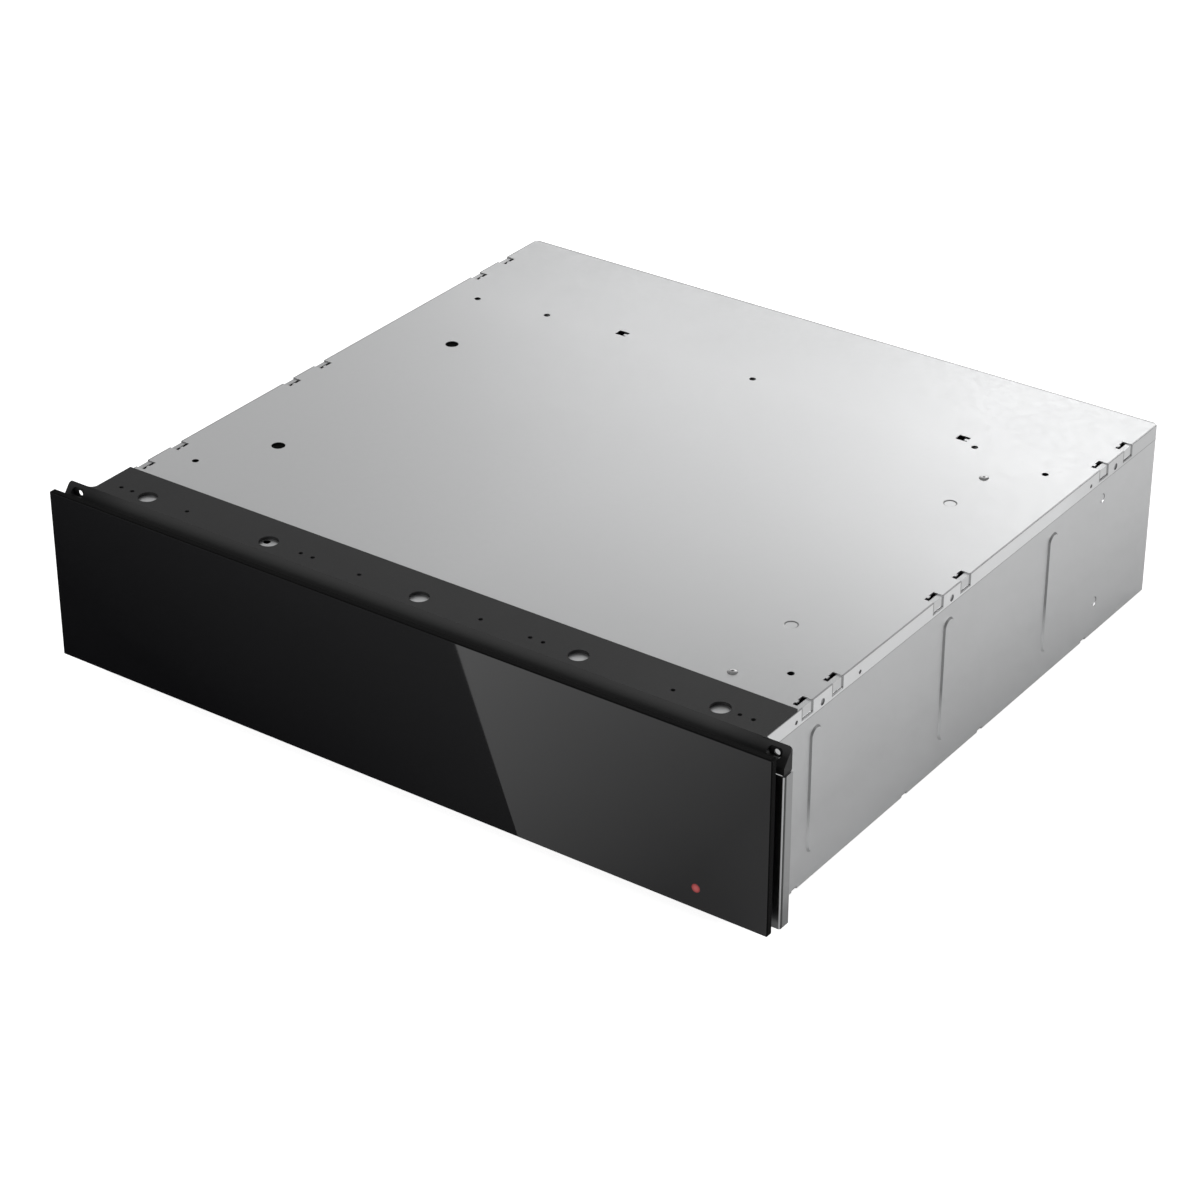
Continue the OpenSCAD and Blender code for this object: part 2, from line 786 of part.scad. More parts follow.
// Warm air duct on the base, open towards the drawer
module air_duct() color("lightgray") seat() difference() {
    block([-duct_w / 2, duct_front, sheet_t], [duct_w / 2, duct_back, duct_top]);
    block([duct_t - duct_w / 2, duct_front - over, sheet_t + duct_t],
        [duct_w / 2 - duct_t, duct_back - duct_t, duct_top - duct_t]);
    base_vents();
}

module duct_grille() color("gray") seat() difference() {
    block([-duct_w / 2, duct_front - grille_t, sheet_t], [duct_w / 2, duct_front, duct_top]);
    for (x = [-vent_x, 0, vent_x], z = air_zs) {
        vent_row(x)
            translate([0, 0, z])
                along_y(duct_front - grille_t - over, duct_front + over)
                    rotate(90)
                        slot_shape(vent_l, vent_w);
    }
}

// Fan motor on the duct's floor, its shaft standing up into the rotor
module fan_motor() color("dimgray") seat() translate([0, fan_y, sheet_t + duct_t]) difference() {
    union() {
        cylinder(r = motor_r, h = motor_h);
        cylinder(r = motor_r + motor_rim, h = motor_rim);
        cylinder(r = hub_r, h = motor_h + motor_rim);
    }
    translate([0, 0, motor_h + motor_rim + rotor_gap + rotor_h - shaft_l - ease])
        cylinder(r = shaft_r + run_gap, h = shaft_l);
}

module fan_shaft() color("gainsboro") seat()
    translate([0, fan_y, sheet_t + duct_t + motor_h + motor_rim + rotor_gap + rotor_h - shaft_l])
        cylinder(r = shaft_r, h = shaft_l);

module fan_rotor() color("gray") seat()
    translate([0, fan_y, sheet_t + duct_t + motor_h + motor_rim + rotor_gap]) difference() {
        union() {
            cylinder(r = rotor_d / 2, h = blade_t);
            cylinder(r = hub_r, h = rotor_h);
            for (i = [0:blades - 1]) {
                rotate(i * 360 / blades)
                    translate([rotor_d / 2 - blade_l, 0, 0])
                        rotate(blade_a)
                            cube([blade_l, blade_t, rotor_h - blade_t / 2]);
            }
            translate([0, 0, rotor_h - blade_t])
                difference() {
                    cylinder(r = rotor_d / 2, h = blade_t);
                    translate([0, 0, -over])
                        cylinder(r = rotor_d / 2 - blade_l - blade_t, h = blade_t + 2 * over);
                }
        }
        translate([0, 0, -over])
            cylinder(r = shaft_r, h = rotor_h + 2 * over);
    }

// Two tubular hairpins, one each side of the fan, held by plates on the duct's side walls
module heating_element() color("sienna") seat() both() translate([0, fan_y, element_z]) {
    plate_x = duct_w / 2 - duct_t - element_plate;
    bend_x = element_in + element_r;
    for (y = [-element_r, element_r]) {
        translate([bend_x, y, 0])
            rod_x(element_d / 2, plate_x - bend_x + element_plate / 2);
    }
    translate([bend_x, 0, 0])
        rotate(90)
            rotate_extrude(angle = 180)
                translate([element_r, 0])
                    circle(d = element_d);
    block([plate_x, -2 * element_r + element_plate, -element_r / 2],
        [plate_x + element_plate, 2 * element_r - element_plate, element_r / 2]);
}

module thermostat() color("whitesmoke") seat()
    translate([thermostat_x, duct_back - duct_t - thermostat_h, thermostat_z]) {
        rod_y(thermostat_d / 2, thermostat_h);
        translate([0, -thermostat_h / 2, 0])
            rod_y(thermostat_nose_r, thermostat_h);
    }

// Terminal box on the rear panel, its cover and the gland for the mains cable
module terminal_box() color("whitesmoke") seat() difference() {
    half = terminal_w / 2;
    block([terminal_x - half, rear_in - terminal_d, terminal_low],
        [terminal_x + half, rear_in, terminal_low + terminal_h]);
    block([terminal_x - half + terminal_t, rear_in - terminal_d + terminal_t, terminal_low + terminal_t],
        [terminal_x + half - terminal_t, rear_in - terminal_t, terminal_low + terminal_h + over]);
    translate([terminal_x, rear_in - terminal_t - over, gland_z])
        rod_y(gland_thread_r, terminal_t + 2 * over);
}

module terminal_cover() color("whitesmoke") seat()
    block([terminal_x - terminal_w / 2, rear_in - terminal_d, terminal_low + terminal_h],
        [terminal_x + terminal_w / 2, rear_in, terminal_low + terminal_h + terminal_t]);

module cable_gland() color("black") seat() translate([terminal_x, 0, gland_z]) difference() {
    union() {
        translate([0, rear_in - gland_inner_l, 0])
            rod_y(gland_thread_r, gland_inner_l + sheet_t + over);
        translate([0, body_d, 0])
            rotate([-90, 0, 0])
                cylinder(r = gland_nut_r, h = gland_out / 2, $fn = 6);
        translate([0, body_d + gland_out / 2, 0])
            rotate([-90, 0, 0])
                cylinder(r1 = gland_thread_r + sheet_t, r2 = gland_thread_r - sheet_t, h = gland_out / 2);
    }
    translate([0, rear_in - gland_inner_l - over, 0])
        rod_y(gland_bore_r, gland_inner_l + sheet_t + gland_out + 2 * over);
}

module power_supply() color("darkgreen") seat() difference() {
    block([-supply_x - supply_w / 2, rear_in - supply_d, supply_low],
        [supply_w / 2 - supply_x, rear_in, supply_low + supply_h]);
    for (share = supply_groove_shares) {
        groove_z = supply_low + share * supply_h;
        block([vent_w - supply_x - supply_w / 2, rear_in - supply_d - over, groove_z],
            [supply_w / 2 - vent_w - supply_x, rear_in - supply_d + 2 * over, groove_z + vent_w]);
    }
}

// Push latch on a bracket from the base, the right one drawn, and its plunger
module push_latch() difference() {
    union() {
        block([latch_x - latch_w / 2, latch_y, slide_z - latch_h / 2],
            [latch_x + latch_w / 2, latch_y + latch_l, slide_z + latch_h / 2]);
        for (x = [latch_x - latch_w / 2, latch_x + latch_w / 2 - latch_bracket]) {
            block([x, latch_y, sheet_t], [x + latch_bracket, latch_y + latch_l, slide_z]);
        }
        block([latch_x - latch_w / 2, latch_y, sheet_t],
            [latch_x + latch_w / 2, latch_y + latch_l, sheet_t + latch_bracket]);
    }
    translate([latch_x, latch_y - over, slide_z])
        rod_y(plunger_d / 2 + run_gap, plunger_y + plunger_l + plunger_travel + ease - latch_y + over);
}

module latch_plunger() translate([latch_x, plunger_y, slide_z]) {
    rotate([-90, 0, 0])
        cylinder(r1 = plunger_d / 2 - plunger_tip, r2 = plunger_d / 2, h = plunger_tip);
    translate([0, plunger_tip, 0])
        rod_y(plunger_d / 2, plunger_l - plunger_tip);
}

module left_push_latch() color("dimgray") seat() left() push_latch();
module right_push_latch() color("dimgray") seat() push_latch();
module left_latch_plunger() color("white") seat() left() latch_plunger();
module right_latch_plunger() color("white") seat() latch_plunger();

// A pan head screw along +y, its head's underside at y = 0
module screw(grip) {
    translate([0, -screw_head_h, 0])
        rotate([-90, 0, 0])
            cylinder(r1 = screw_top_share * screw_head_r, r2 = screw_head_r, h = screw_head_h);
    rod_y(screw_r, grip);
}

module housing_screws() color("gainsboro") seat() both() {
    for (z = screw_zs) {
        translate([side_in - lip_w / 2, body_d, z])
            mirror([0, 1, 0])
                screw(2 * sheet_t + screw_grip);
    }
    for (z = column_screw_zs()) {
        translate([side_in, column_screw_y, z])
            rotate(-90)
                screw(2 * sheet_t + screw_grip);
    }
}

module cover_rivets() color("gray") seat() for (s = rivet_shares) {
    translate(cover_at(s)) {
        translate([0, 0, cover_h])
            cylinder(d1 = rivet_d, d2 = screw_top_share * rivet_d, h = rivet_h);
        translate([0, 0, cover_under])
            cylinder(d = rivet_pin_d, h = sheet_t + rivet_h / 2);
    }
}

// Glass front with chamfered edges and the light's hole
module glass_front() color("black") seat() difference() {
    intersection() {
        along_z(glass_lift, glass_lift + front_h)
            chamfered(front_w);
        translate([0, 0, glass_lift + front_h / 2])
            along_x(-front_w / 2, front_w / 2)
                mirror([1, -1])
                    chamfered(front_h);
        translate([0, 0, glass_lift + front_h / 2])
            along_y(-over, glass_t + over)
                round_rect(front_w, front_h, glass_corner_r);
    }
    translate([light_x, -over, light_at])
        rod_y(light_d / 2, glass_t + 2 * over);
}

module chamfered(w) polygon([[glass_chamfer - w / 2, 0], [w / 2 - glass_chamfer, 0],
    [w / 2, glass_chamfer], [w / 2, glass_t], [-w / 2, glass_t], [-w / 2, glass_chamfer]]);

// Bonding tape between the glass and the carrier, kept clear of the light
module glass_tape() color("black") seat() difference() {
    block([-carrier_half, glass_t, carrier_low], [carrier_half, carrier_y, carrier_top]);
    block([tape_w - carrier_half, glass_t - over, carrier_low + tape_w],
        [carrier_half - tape_w, carrier_y + over, carrier_top - tape_w]);
    translate([light_x, glass_t - over, light_at])
        rod_y(light_d / 2 + ease, tape_t + 2 * over);
}

module indicator_lens() color("red") seat() translate([light_x, 0, light_at])
    rod_y(light_d / 2, carrier_y + sheet_t);

module indicator_lamp() color("white") seat() translate([light_x, carrier_y + sheet_t, light_at]) {
    rod_y(light_d / 2 + lamp_wall, lamp_l / 2);
    rod_y(light_d / 2, lamp_l);
}

// Steel tray behind the glass, open at the back
module front_carrier() color("dimgray") seat() difference() {
    block([-carrier_half, carrier_y, carrier_low], [carrier_half, carrier_back, carrier_top]);
    block([sheet_t - carrier_half, carrier_y + sheet_t, carrier_low + sheet_t],
        [carrier_half - sheet_t, carrier_back + over, carrier_top - sheet_t]);
    translate([light_x, carrier_y - over, light_at])
        rod_y(light_d / 2 + ease, sheet_t + 2 * over);
}

// Folded plate that closes the carrier and makes a trough for the controls
module front_crossmember() color("silver") seat() {
    block([-carrier_half, carrier_back, carrier_low], [carrier_half, carrier_back + trough_t, carrier_top]);
    along_x(-box_half, box_half)
        polygon([[carrier_back + trough_t / 2, trough_low], [liner_front, trough_low],
            [liner_front, trough_top], [liner_front - trough_t, trough_top],
            [liner_front - trough_t, trough_low + trough_t],
            [carrier_back + trough_t / 2, trough_low + trough_t]]);
}

// Black strip over the trough, dished round the knob and open round the button
module control_fascia() color("black") seat() difference() {
    block([-box_half, carrier_back + trough_t, trough_top], [box_half, liner_front, fascia_top]);
    translate([knob_x, fascia_mid, trough_top - over])
        cylinder(r = knob_shaft_r + ease, h = fascia_t + 2 * over);
    translate([knob_x, fascia_mid, fascia_top - knob_dish])
        cylinder(d = knob_d + 2 * knob_dish, h = knob_dish + over);
    translate([button_x, fascia_mid, trough_top - over])
        linear_extrude(fascia_t + 2 * over)
            square([button_l + 2 * ease, button_w + 2 * ease], center = true);
}

module energy_regulator() color("whitesmoke") seat() translate([knob_x, fascia_mid, trough_top])
    difference() {
        translate([0, 0, -regulator_h])
            linear_extrude(regulator_h)
                square([regulator_w, regulator_d], center = true);
        translate([0, 0, -knob_shaft_l - ease])
            cylinder(r = knob_shaft_r + run_gap, h = knob_shaft_l + ease + over);
    }

module temperature_knob() color("gainsboro") seat() translate([knob_x, fascia_mid, 0]) {
    base_z = fascia_top - knob_dish + ease;
    difference() {
        translate([0, 0, base_z])
            cylinder(d = knob_d, h = knob_h);
        for (i = [0:knob_ribs - 1]) {
            rotate(i * 360 / knob_ribs)
                translate([knob_d / 2 + knob_rib_share * knob_rib_r, 0, base_z + knob_rib_r])
                    cylinder(r = knob_rib_r, h = knob_h, $fn = 16);
        }
    }
    translate([0, 0, trough_top - knob_shaft_l])
        cylinder(r = knob_shaft_r, h = base_z - trough_top + knob_shaft_l + over);
    translate([0, -pointer_w / 2, base_z + knob_h - over])
        cube([knob_d / 2 - 2 * knob_rib_r, pointer_w, over + pointer_w / 2]);
}

module power_switch() color("whitesmoke") seat() translate([button_x, fascia_mid, 0]) {
    half = button_l / 2 + button_flange + ease;
    deep = button_w + 2 * button_flange;
    translate([0, 0, switch_top - switch_h])
        linear_extrude(switch_h)
            square([2 * (half + switch_post), deep], center = true);
    for (x = [-1, 1]) {
        translate([x * (half + switch_post / 2), 0, switch_top - over])
            linear_extrude(trough_top - switch_top + over)
                square([switch_post, deep], center = true);
    }
}

module power_button() color("gainsboro") seat() translate([button_x, fascia_mid, trough_top - ease]) {
    wide = button_l + 2 * button_flange;
    deep = button_w + 2 * button_flange;
    translate([0, 0, -button_foot])
        linear_extrude(button_foot)
            square([wide, deep], center = true);
    translate([0, 0, -button_foot / 2])
        linear_extrude(button_foot / 2 + ease + fascia_t + button_rise)
            square([button_l, button_w], center = true);
}

// Drawer box with round upright corners, side rims and vents towards the duct
module drawer_liner() color("gainsboro") seat() difference() {
    union() {
        liner_form(liner_low, liner_top, 0);
        both() block([box_half - liner_t / 2, liner_front + liner_r, liner_top - liner_t],
            [box_half + rim_w, liner_back - liner_r, liner_top]);
    }
    liner_form(floor_top, liner_top + over, liner_t);
    for (x = [-vent_x, 0, vent_x], z = air_zs) {
        vent_row(x)
            translate([0, 0, z])
                along_y(liner_back - liner_t - over, liner_back + over)
                    rotate(90)
                        slot_shape(vent_l, vent_w);
    }
    both() for (y = slide_hole_ys) {
        translate([box_half - liner_t - over, y, slide_z])
            rod_x(screw_r, liner_t + 2 * over);
    }
}

module liner_form(low, high, inset) translate([0, (liner_front + liner_back) / 2, 0])
    along_z(low, high)
        round_rect(2 * (box_half - inset), liner_back - liner_front - 2 * inset, liner_r - inset);

module antislip_mat() color("dimgray") seat() translate([0, (liner_front + liner_back) / 2, 0])
    along_z(floor_top, floor_top + mat_t)
        round_rect(2 * (box_half - liner_t - mat_gap), liner_back - liner_front - 2 * (liner_t + mat_gap),
            liner_r - liner_t - mat_gap / 2);

module strike_plates() color("gray") seat() both()
    block([strike_x - strike_w / 2, liner_back, slide_z - strike_h / 2],
        [strike_x + strike_w / 2, liner_back + strike_t, slide_z + strike_h / 2]);

module drawer_screws() color("gainsboro") seat() both() for (y = slide_hole_ys) {
    translate([box_half - liner_t, y, slide_z])
        rotate(-90)
            screw(liner_t + slide_t + screw_grip / 2);
}

top_cover();
left_side_panel();
right_side_panel();
base_panel();
rear_panel();
front_rail();
left_column();
right_column();
heat_shield();
insulation_mat();
left_outer_runner();
right_outer_runner();
left_middle_runner();
right_middle_runner();
left_inner_runner();
right_inner_runner();
air_duct();
duct_grille();
fan_motor();
fan_shaft();
fan_rotor();
heating_element();
thermostat();
terminal_box();
terminal_cover();
cable_gland();
power_supply();
left_push_latch();
right_push_latch();
left_latch_plunger();
right_latch_plunger();
housing_screws();
cover_rivets();
glass_front();
glass_tape();
indicator_lens();
indicator_lamp();
front_carrier();
front_crossmember();
control_fascia();
energy_regulator();
temperature_knob();
power_switch();
power_button();
drawer_liner();
antislip_mat();
strike_plates();
drawer_screws();
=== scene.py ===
# %% [markdown]
# # A built-in warming drawer
# The steel body, the rail, the slides and the drawer come from the CAD model, each in its real place.
# This script gives them their finishes, adds the small pieces that a lathe or a press would make, and
# sets up the table for the picture: a pale floor, soft lamps and one camera.

# %% Load the frame
import math

import bmesh
import bpy
from mathutils import Matrix, Vector


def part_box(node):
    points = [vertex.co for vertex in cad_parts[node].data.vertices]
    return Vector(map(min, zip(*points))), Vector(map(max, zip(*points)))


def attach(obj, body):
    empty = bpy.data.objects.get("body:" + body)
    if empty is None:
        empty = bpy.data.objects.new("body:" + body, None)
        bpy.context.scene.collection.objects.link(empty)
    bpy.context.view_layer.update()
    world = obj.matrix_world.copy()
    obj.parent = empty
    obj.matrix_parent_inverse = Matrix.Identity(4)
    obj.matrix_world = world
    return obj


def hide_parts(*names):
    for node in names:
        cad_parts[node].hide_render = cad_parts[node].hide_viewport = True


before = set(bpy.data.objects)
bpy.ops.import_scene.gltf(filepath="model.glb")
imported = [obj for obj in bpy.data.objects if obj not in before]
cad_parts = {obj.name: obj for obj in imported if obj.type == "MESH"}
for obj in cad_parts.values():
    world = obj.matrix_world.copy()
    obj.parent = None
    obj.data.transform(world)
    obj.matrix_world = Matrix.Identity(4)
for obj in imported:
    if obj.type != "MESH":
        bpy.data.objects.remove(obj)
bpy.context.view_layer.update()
print("pieces from the CAD model:", len(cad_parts))

# %% [markdown]
# ## The camera
# The photograph looks at the drawer from its front right and a little from above. The camera's place, its
# two angles and its lens were found from the straight edges of the glass and the housing. A long lens from
# two and a half metres keeps the edges almost parallel, as it does in product photographs.

# %% Camera
YAW, PITCH = math.radians(35.428), math.radians(30.064)
CAMERA_AT = (1.2371, -1.7744, 1.2763)
LENS_MM, SENSOR_MM = 104.1, 36
camera_data = bpy.data.cameras.new("photo_camera")
camera_data.sensor_width = SENSOR_MM
camera_data.lens = LENS_MM
camera = bpy.data.objects.new("photo_camera", camera_data)
camera.location = CAMERA_AT
camera.rotation_euler = (math.pi / 2 - PITCH, 0, YAW)
bpy.context.scene.collection.objects.link(camera)
bpy.context.scene.camera = camera
bpy.context.scene.view_settings.view_transform = "Standard"
print("camera stands", round(camera.location.length, 2), "m from the drawer")

# %% [markdown]
# ## Sums with sockets
# A finish is a small network of nodes. Wire wraps one socket, so that ordinary sums such as 1 - mask add the
# Math nodes themselves, and Finish keeps the material together with its one method for every other node.

# %% Wire and Finish
class Wire:
    """A node's output that takes part in sums."""

    def __init__(self, finish, socket):
        self.finish = finish
        self.socket = socket
        self.node = socket.node

    def sum(self, operation, first, second=0.0):
        return self.finish.sum_of(operation, first, second)

    def __add__(self, other):
        return self.sum("ADD", self, other)

    def __radd__(self, other):
        return self.sum("ADD", other, self)

    def __sub__(self, other):
        return self.sum("SUBTRACT", self, other)

    def __rsub__(self, other):
        return self.sum("SUBTRACT", other, self)

    def __mul__(self, other):
        return self.sum("MULTIPLY", self, other)

    def __rmul__(self, other):
        return self.sum("MULTIPLY", other, self)

    def __truediv__(self, other):
        return self.sum("DIVIDE", self, other)

    def __gt__(self, other):
        return self.sum("GREATER_THAN", self, other)

    def __lt__(self, other):
        return self.sum("LESS_THAN", self, other)

    def __abs__(self):
        return self.sum("ABSOLUTE", self)


# The numbers of a Mix node's two colour sockets and of its colour output
MIX_FIRST, MIX_SECOND, MIX_RESULT = 6, 7, 2


class Finish:
    """A material made of one Principled shader and the nodes that feed it."""

    def __init__(self, name, **sockets):
        self.material = bpy.data.materials.new(name)
        self.material.use_nodes = True
        self.tree = self.material.node_tree
        self.shader = self.tree.nodes["Principled BSDF"]
        self.set(**sockets)

    def set(self, **sockets):
        for socket, value in sockets.items():
            self.feed(self.shader.inputs[socket.replace("_", " ")], value)

    def feed(self, socket, value):
        if isinstance(value, Wire):
            self.tree.links.new(value.socket, socket)
        else:
            socket.default_value = value

    def add(self, kind, settings, sockets, out=0):
        """Adds any node: its settings come first, then the values or links of its sockets."""
        node = self.tree.nodes.new("ShaderNode" + kind)
        for name, value in settings.items():
            setattr(node, name, value)
        for name, value in sockets.items():
            self.feed(node.inputs[name], value)
        return Wire(self, node.outputs[out])

    def sum_of(self, operation, first, second=0.0):
        return self.add("Math", {"operation": operation}, {0: first, 1: second})

    def held(self, value, low, high):
        """The value, kept between two bounds."""
        return self.sum_of("MAXIMUM", self.sum_of("MINIMUM", value, high), low)

    def place(self, scale=(1, 1, 1), start=(0, 0, 0)):
        here = self.add("TexCoord", {}, {}, "Object")
        return self.add("Mapping", {}, {"Vector": here, "Scale": scale, "Location": start})

    def noise(self, scale, detail, stretch=(1, 1, 1)):
        sockets = {"Vector": self.place(stretch), "Scale": scale, "Detail": detail}
        return self.add("TexNoise", {}, sockets, "Fac")

    def blend(self, factor, colour, last):
        sockets = {0: factor, MIX_FIRST: colour, MIX_SECOND: (*last, 1)}
        return self.add("Mix", {"data_type": "RGBA"}, sockets, MIX_RESULT)

    def tint(self, factor, first, second):
        return self.blend(factor, (*first, 1), second)

    def shader_wire(self):
        return Wire(self, self.shader.outputs[0])

    def end(self, last):
        self.tree.links.new(last.socket, self.tree.nodes["Material Output"].inputs["Surface"])

    def bump(self, height, strength, distance):
        sockets = {"Height": height, "Strength": strength, "Distance": distance}
        self.set(Normal=self.add("Bump", {}, sockets, "Normal"))


print("Wire and Finish are ready")

# %% [markdown]
# ## Sheet steel
# Galvanised sheet is a grey metal with a soft, slightly cloudy gloss: the zinc freezes in flat crystals, and
# rolling leaves long fine streaks. A picture of real sheet would repeat, so the crystals come from a Voronoi
# pattern, the streaks from a stretched noise, and both change the roughness more than the colour.

# %% Galvanised sheet
CRYSTALS, CLOUDS, STREAKS, GRAIN = 260.0, 9.0, 38.0, 1400.0


def galvanised(name, light, rough, streak, painted_shading=None):
    finish = Finish(name, Metallic=1.0)
    crystal = finish.add("TexVoronoi", {}, {"Vector": finish.place(), "Scale": CRYSTALS}, "Color")
    flakes = finish.add("SeparateColor", {}, {"Color": crystal})
    rolled = finish.noise(STREAKS, 5.0, streak)
    shade = flakes * 0.35 + finish.noise(CLOUDS, 4.0) * 0.4 + rolled * 0.25
    dark = tuple(c * 0.93 for c in light)
    colour = finish.tint(shade, dark, light)
    # Painted light and shade: each mask lays a lighter or darker copy of the grey over the sheet's colour.
    for mask, tone in painted_shading(finish) if painted_shading else ():
        colour = finish.blend(mask, colour, tuple(min(c * tone, 0.95) for c in light))
    finish.set(Base_Color=colour, Roughness=rough - 0.05 + shade * 0.1)
    finish.bump(rolled * 0.6 + finish.noise(GRAIN, 2.0) * 0.4, 0.05, 0.0004)
    return finish.material


print("crystals are about", round(1000 / CRYSTALS, 1), "mm across")

# %% [markdown]
# ## Painted light and shade on folds and pressed places
# The sheet's colour carries painted light and shade where it is bent or pressed: folds and most sloped walls
# are painted darker, as painted shade, and the cover's side flanges are painted lighter than its top, as a
# painted highlight. Such places are known from the CAD sizes, so each is a mask made from the place along x,
# y and z, and each mask has one tone. Painting them as separate pieces would need many more materials on one
# sheet. A flat face is a layer that reaches LEVEL above and below it, and HAIR keeps the mask of a slope off
# the flat faces beside it.

# %% Masks
COVER_LOW, COVER_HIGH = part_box("top_cover")
COLUMN_LOW, COLUMN_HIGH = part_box("right_column")
COVER_X, COVER_Z, FLANGE_Z = COVER_HIGH[0], COVER_HIGH[2], COVER_LOW[2]
COVER_FRONT, COVER_REAR = COVER_LOW[1], COVER_HIGH[1]
COLUMN_X, COLUMN_Y = COLUMN_HIGH[0], COLUMN_LOW[1]
SHEET_T = 0.001
PANEL_X = COVER_X - SHEET_T
TAB_DEPTH, DIMPLE_DEPTH, BEAD_HEIGHT = 0.0007, 0.0004, 0.0013
LEVEL, HAIR = 0.00005, 0.00004


def between(value, low, high):
    """1 where the value lies between two bounds, else 0."""
    return (value > low) * (value < high)


def level(value, height):
    """1 on a flat face at one height, else 0."""
    return between(value, height - LEVEL, height + LEVEL)


def slanted(value, low, high):
    """1 on a wall that leads from one flat face to another, else 0."""
    return between(value, low + HAIR, high - HAIR)


def ramp(finish, value, start, end):
    """0 up to a start, 1 from an end on, and even between them; the end may be the lower number."""
    return finish.add("MapRange", {}, {"Value": value, "From Min": start, "From Max": end})


def parts(finish, start=(0, 0, 0)):
    """The place along x, y and z, one wire each."""
    split = finish.add("SeparateXYZ", {}, {"Vector": finish.place(start=start)})
    return [Wire(finish, socket) for socket in split.node.outputs]


print("the cover's flange is", round((COVER_Z - FLANGE_Z) * 1000, 1), "mm high")

# %% [markdown]
# ## Painted light and shade on the cover
# The cover's flange is pressed in at twelve tabs, in three pairs on each side, and every tab has a flat sunk
# face with sloped walls round it. The nearest tab is found by a minimum over the three pairs, so one set of
# masks serves them all. Every tone on the cover is painted light and shade: its front right corner, its rear,
# its folds, the strip round each tab and the tabs' top ledges and sloped walls are painted darker, and its
# flange is painted lighter, less so towards its rear. The tabs' sunk faces are painted a little lighter, and
# the holes and recesses away from the edges get a painted dark rim and a painted near-black wall.

# %% Painted light and shade on the cover
PAIR_SHARES, TAB_PITCH, TAB_HALF = (0.1283, 0.4373, 0.8775), 0.0355, 0.006
TAB_LOW = FLANGE_Z + 0.0024
FOLD_Z, PRESSED_Z = COVER_Z - 0.0006, COVER_Z - 0.0008
INNER_X = COVER_X - 0.008


def beside_tab(finish, y):
    """The distance along y from the middle of the nearest tab."""
    pairs = [abs(y - (COVER_FRONT + share * (COVER_REAR - COVER_FRONT))) for share in PAIR_SHARES]
    nearest = finish.sum_of("MINIMUM", finish.sum_of("MINIMUM", pairs[0], pairs[1]), pairs[2])
    return abs(nearest - TAB_PITCH / 2)


def cover_painted_shading(finish):
    """Painted light and shade: the broad places come first, and each later one is laid over those before it.
    """
    x, y, z = parts(finish)
    side, along = abs(x), beside_tab(finish, y)
    # Painted shade on the cover's front right corner and along its rear; a painted highlight on the flange,
    # fading towards its rear.
    corner = ramp(finish, x, 0.0, 0.27) * ramp(finish, y, 0.02, -0.19)
    painted_rear_shade = ramp(finish, y, 0.16, 0.26)
    painted_flange_highlight = (side > COVER_X - 0.00002) * (z < FOLD_Z)
    painted_flange_rear_shade = painted_flange_highlight * ramp(finish, y, 0.12, 0.23)
    # Painted shade on the flange round each tab, a painted highlight on the tabs' sunk faces, and painted
    # shade along the side and rear folds.
    painted_tab_surround_shade = painted_flange_highlight * (along < TAB_HALF + 0.0008) * (z > TAB_LOW - 0.0007)
    sunk = level(side, COVER_X - TAB_DEPTH) * (z < PRESSED_Z)
    painted_fold_shade = (side > COVER_X - 0.0009) * (z > FOLD_Z)
    painted_rear_fold_shade = (y > COVER_REAR - 0.0014) * (z > FOLD_Z)
    # Painted shade on the tabs' sloped walls, darkest at their foot, and on the tabs' top ledges.
    painted_slope = slanted(side, COVER_X - TAB_DEPTH, COVER_X) * (z < PRESSED_Z) * (along < TAB_HALF + 0.0002)
    painted_slope_foot_shade = painted_slope * (z < TAB_LOW + 0.0012)
    top = level(z, COVER_Z - TAB_DEPTH) * (side > INNER_X)
    # Painted shade on the rims and walls of the holes and recesses away from the edges.
    inside = side < INNER_X
    painted_rim_shade = inside * slanted(z, COVER_Z - DIMPLE_DEPTH, COVER_Z)
    painted_wall_shade = inside * (z < COVER_Z - DIMPLE_DEPTH - 0.00002)
    # Each pair is a mask and its tone: below 1 is painted shade, above 1 a painted highlight.
    broad = (corner, 0.78), (painted_rear_shade, 0.86), (painted_flange_highlight, 1.3), (painted_flange_rear_shade, 0.96)
    edges = (painted_tab_surround_shade, 0.42), (sunk, 1.08), (painted_fold_shade, 0.5), (painted_rear_fold_shade, 0.5), (painted_slope, 0.6), (painted_slope_foot_shade, 0.1)
    small = (top, 0.8), (painted_rim_shade, 0.5), (painted_wall_shade, 0.05)
    return broad + edges + small


print("tabs on the cover:", 4 * len(PAIR_SHARES))

# %% [markdown]
# ## Painted light and shade on the side panels and columns
# A side panel's three beads stand out and its two dimples are pressed in, both with sloped walls. The beads'
# walls are painted lighter, and darker towards their tops, and the dimples' walls are painted darker, all as
# painted light and shade. The strip right under the cover's flange gets a painted shadow, and each panel's
# lower part, most at the front, a painted lighter tone. A column's grey is painted darker than the panels',
# as painted shade, with a painted highlight along its rounded edge, a painted dark line beside it, and a
# painted darker foot and front.

# %% Painted light and shade on the panels and columns
EDGE_Y, LINE_Y = COLUMN_Y + 0.0007, COLUMN_Y + 0.0027
FRONT_Y = COLUMN_Y + 0.0003


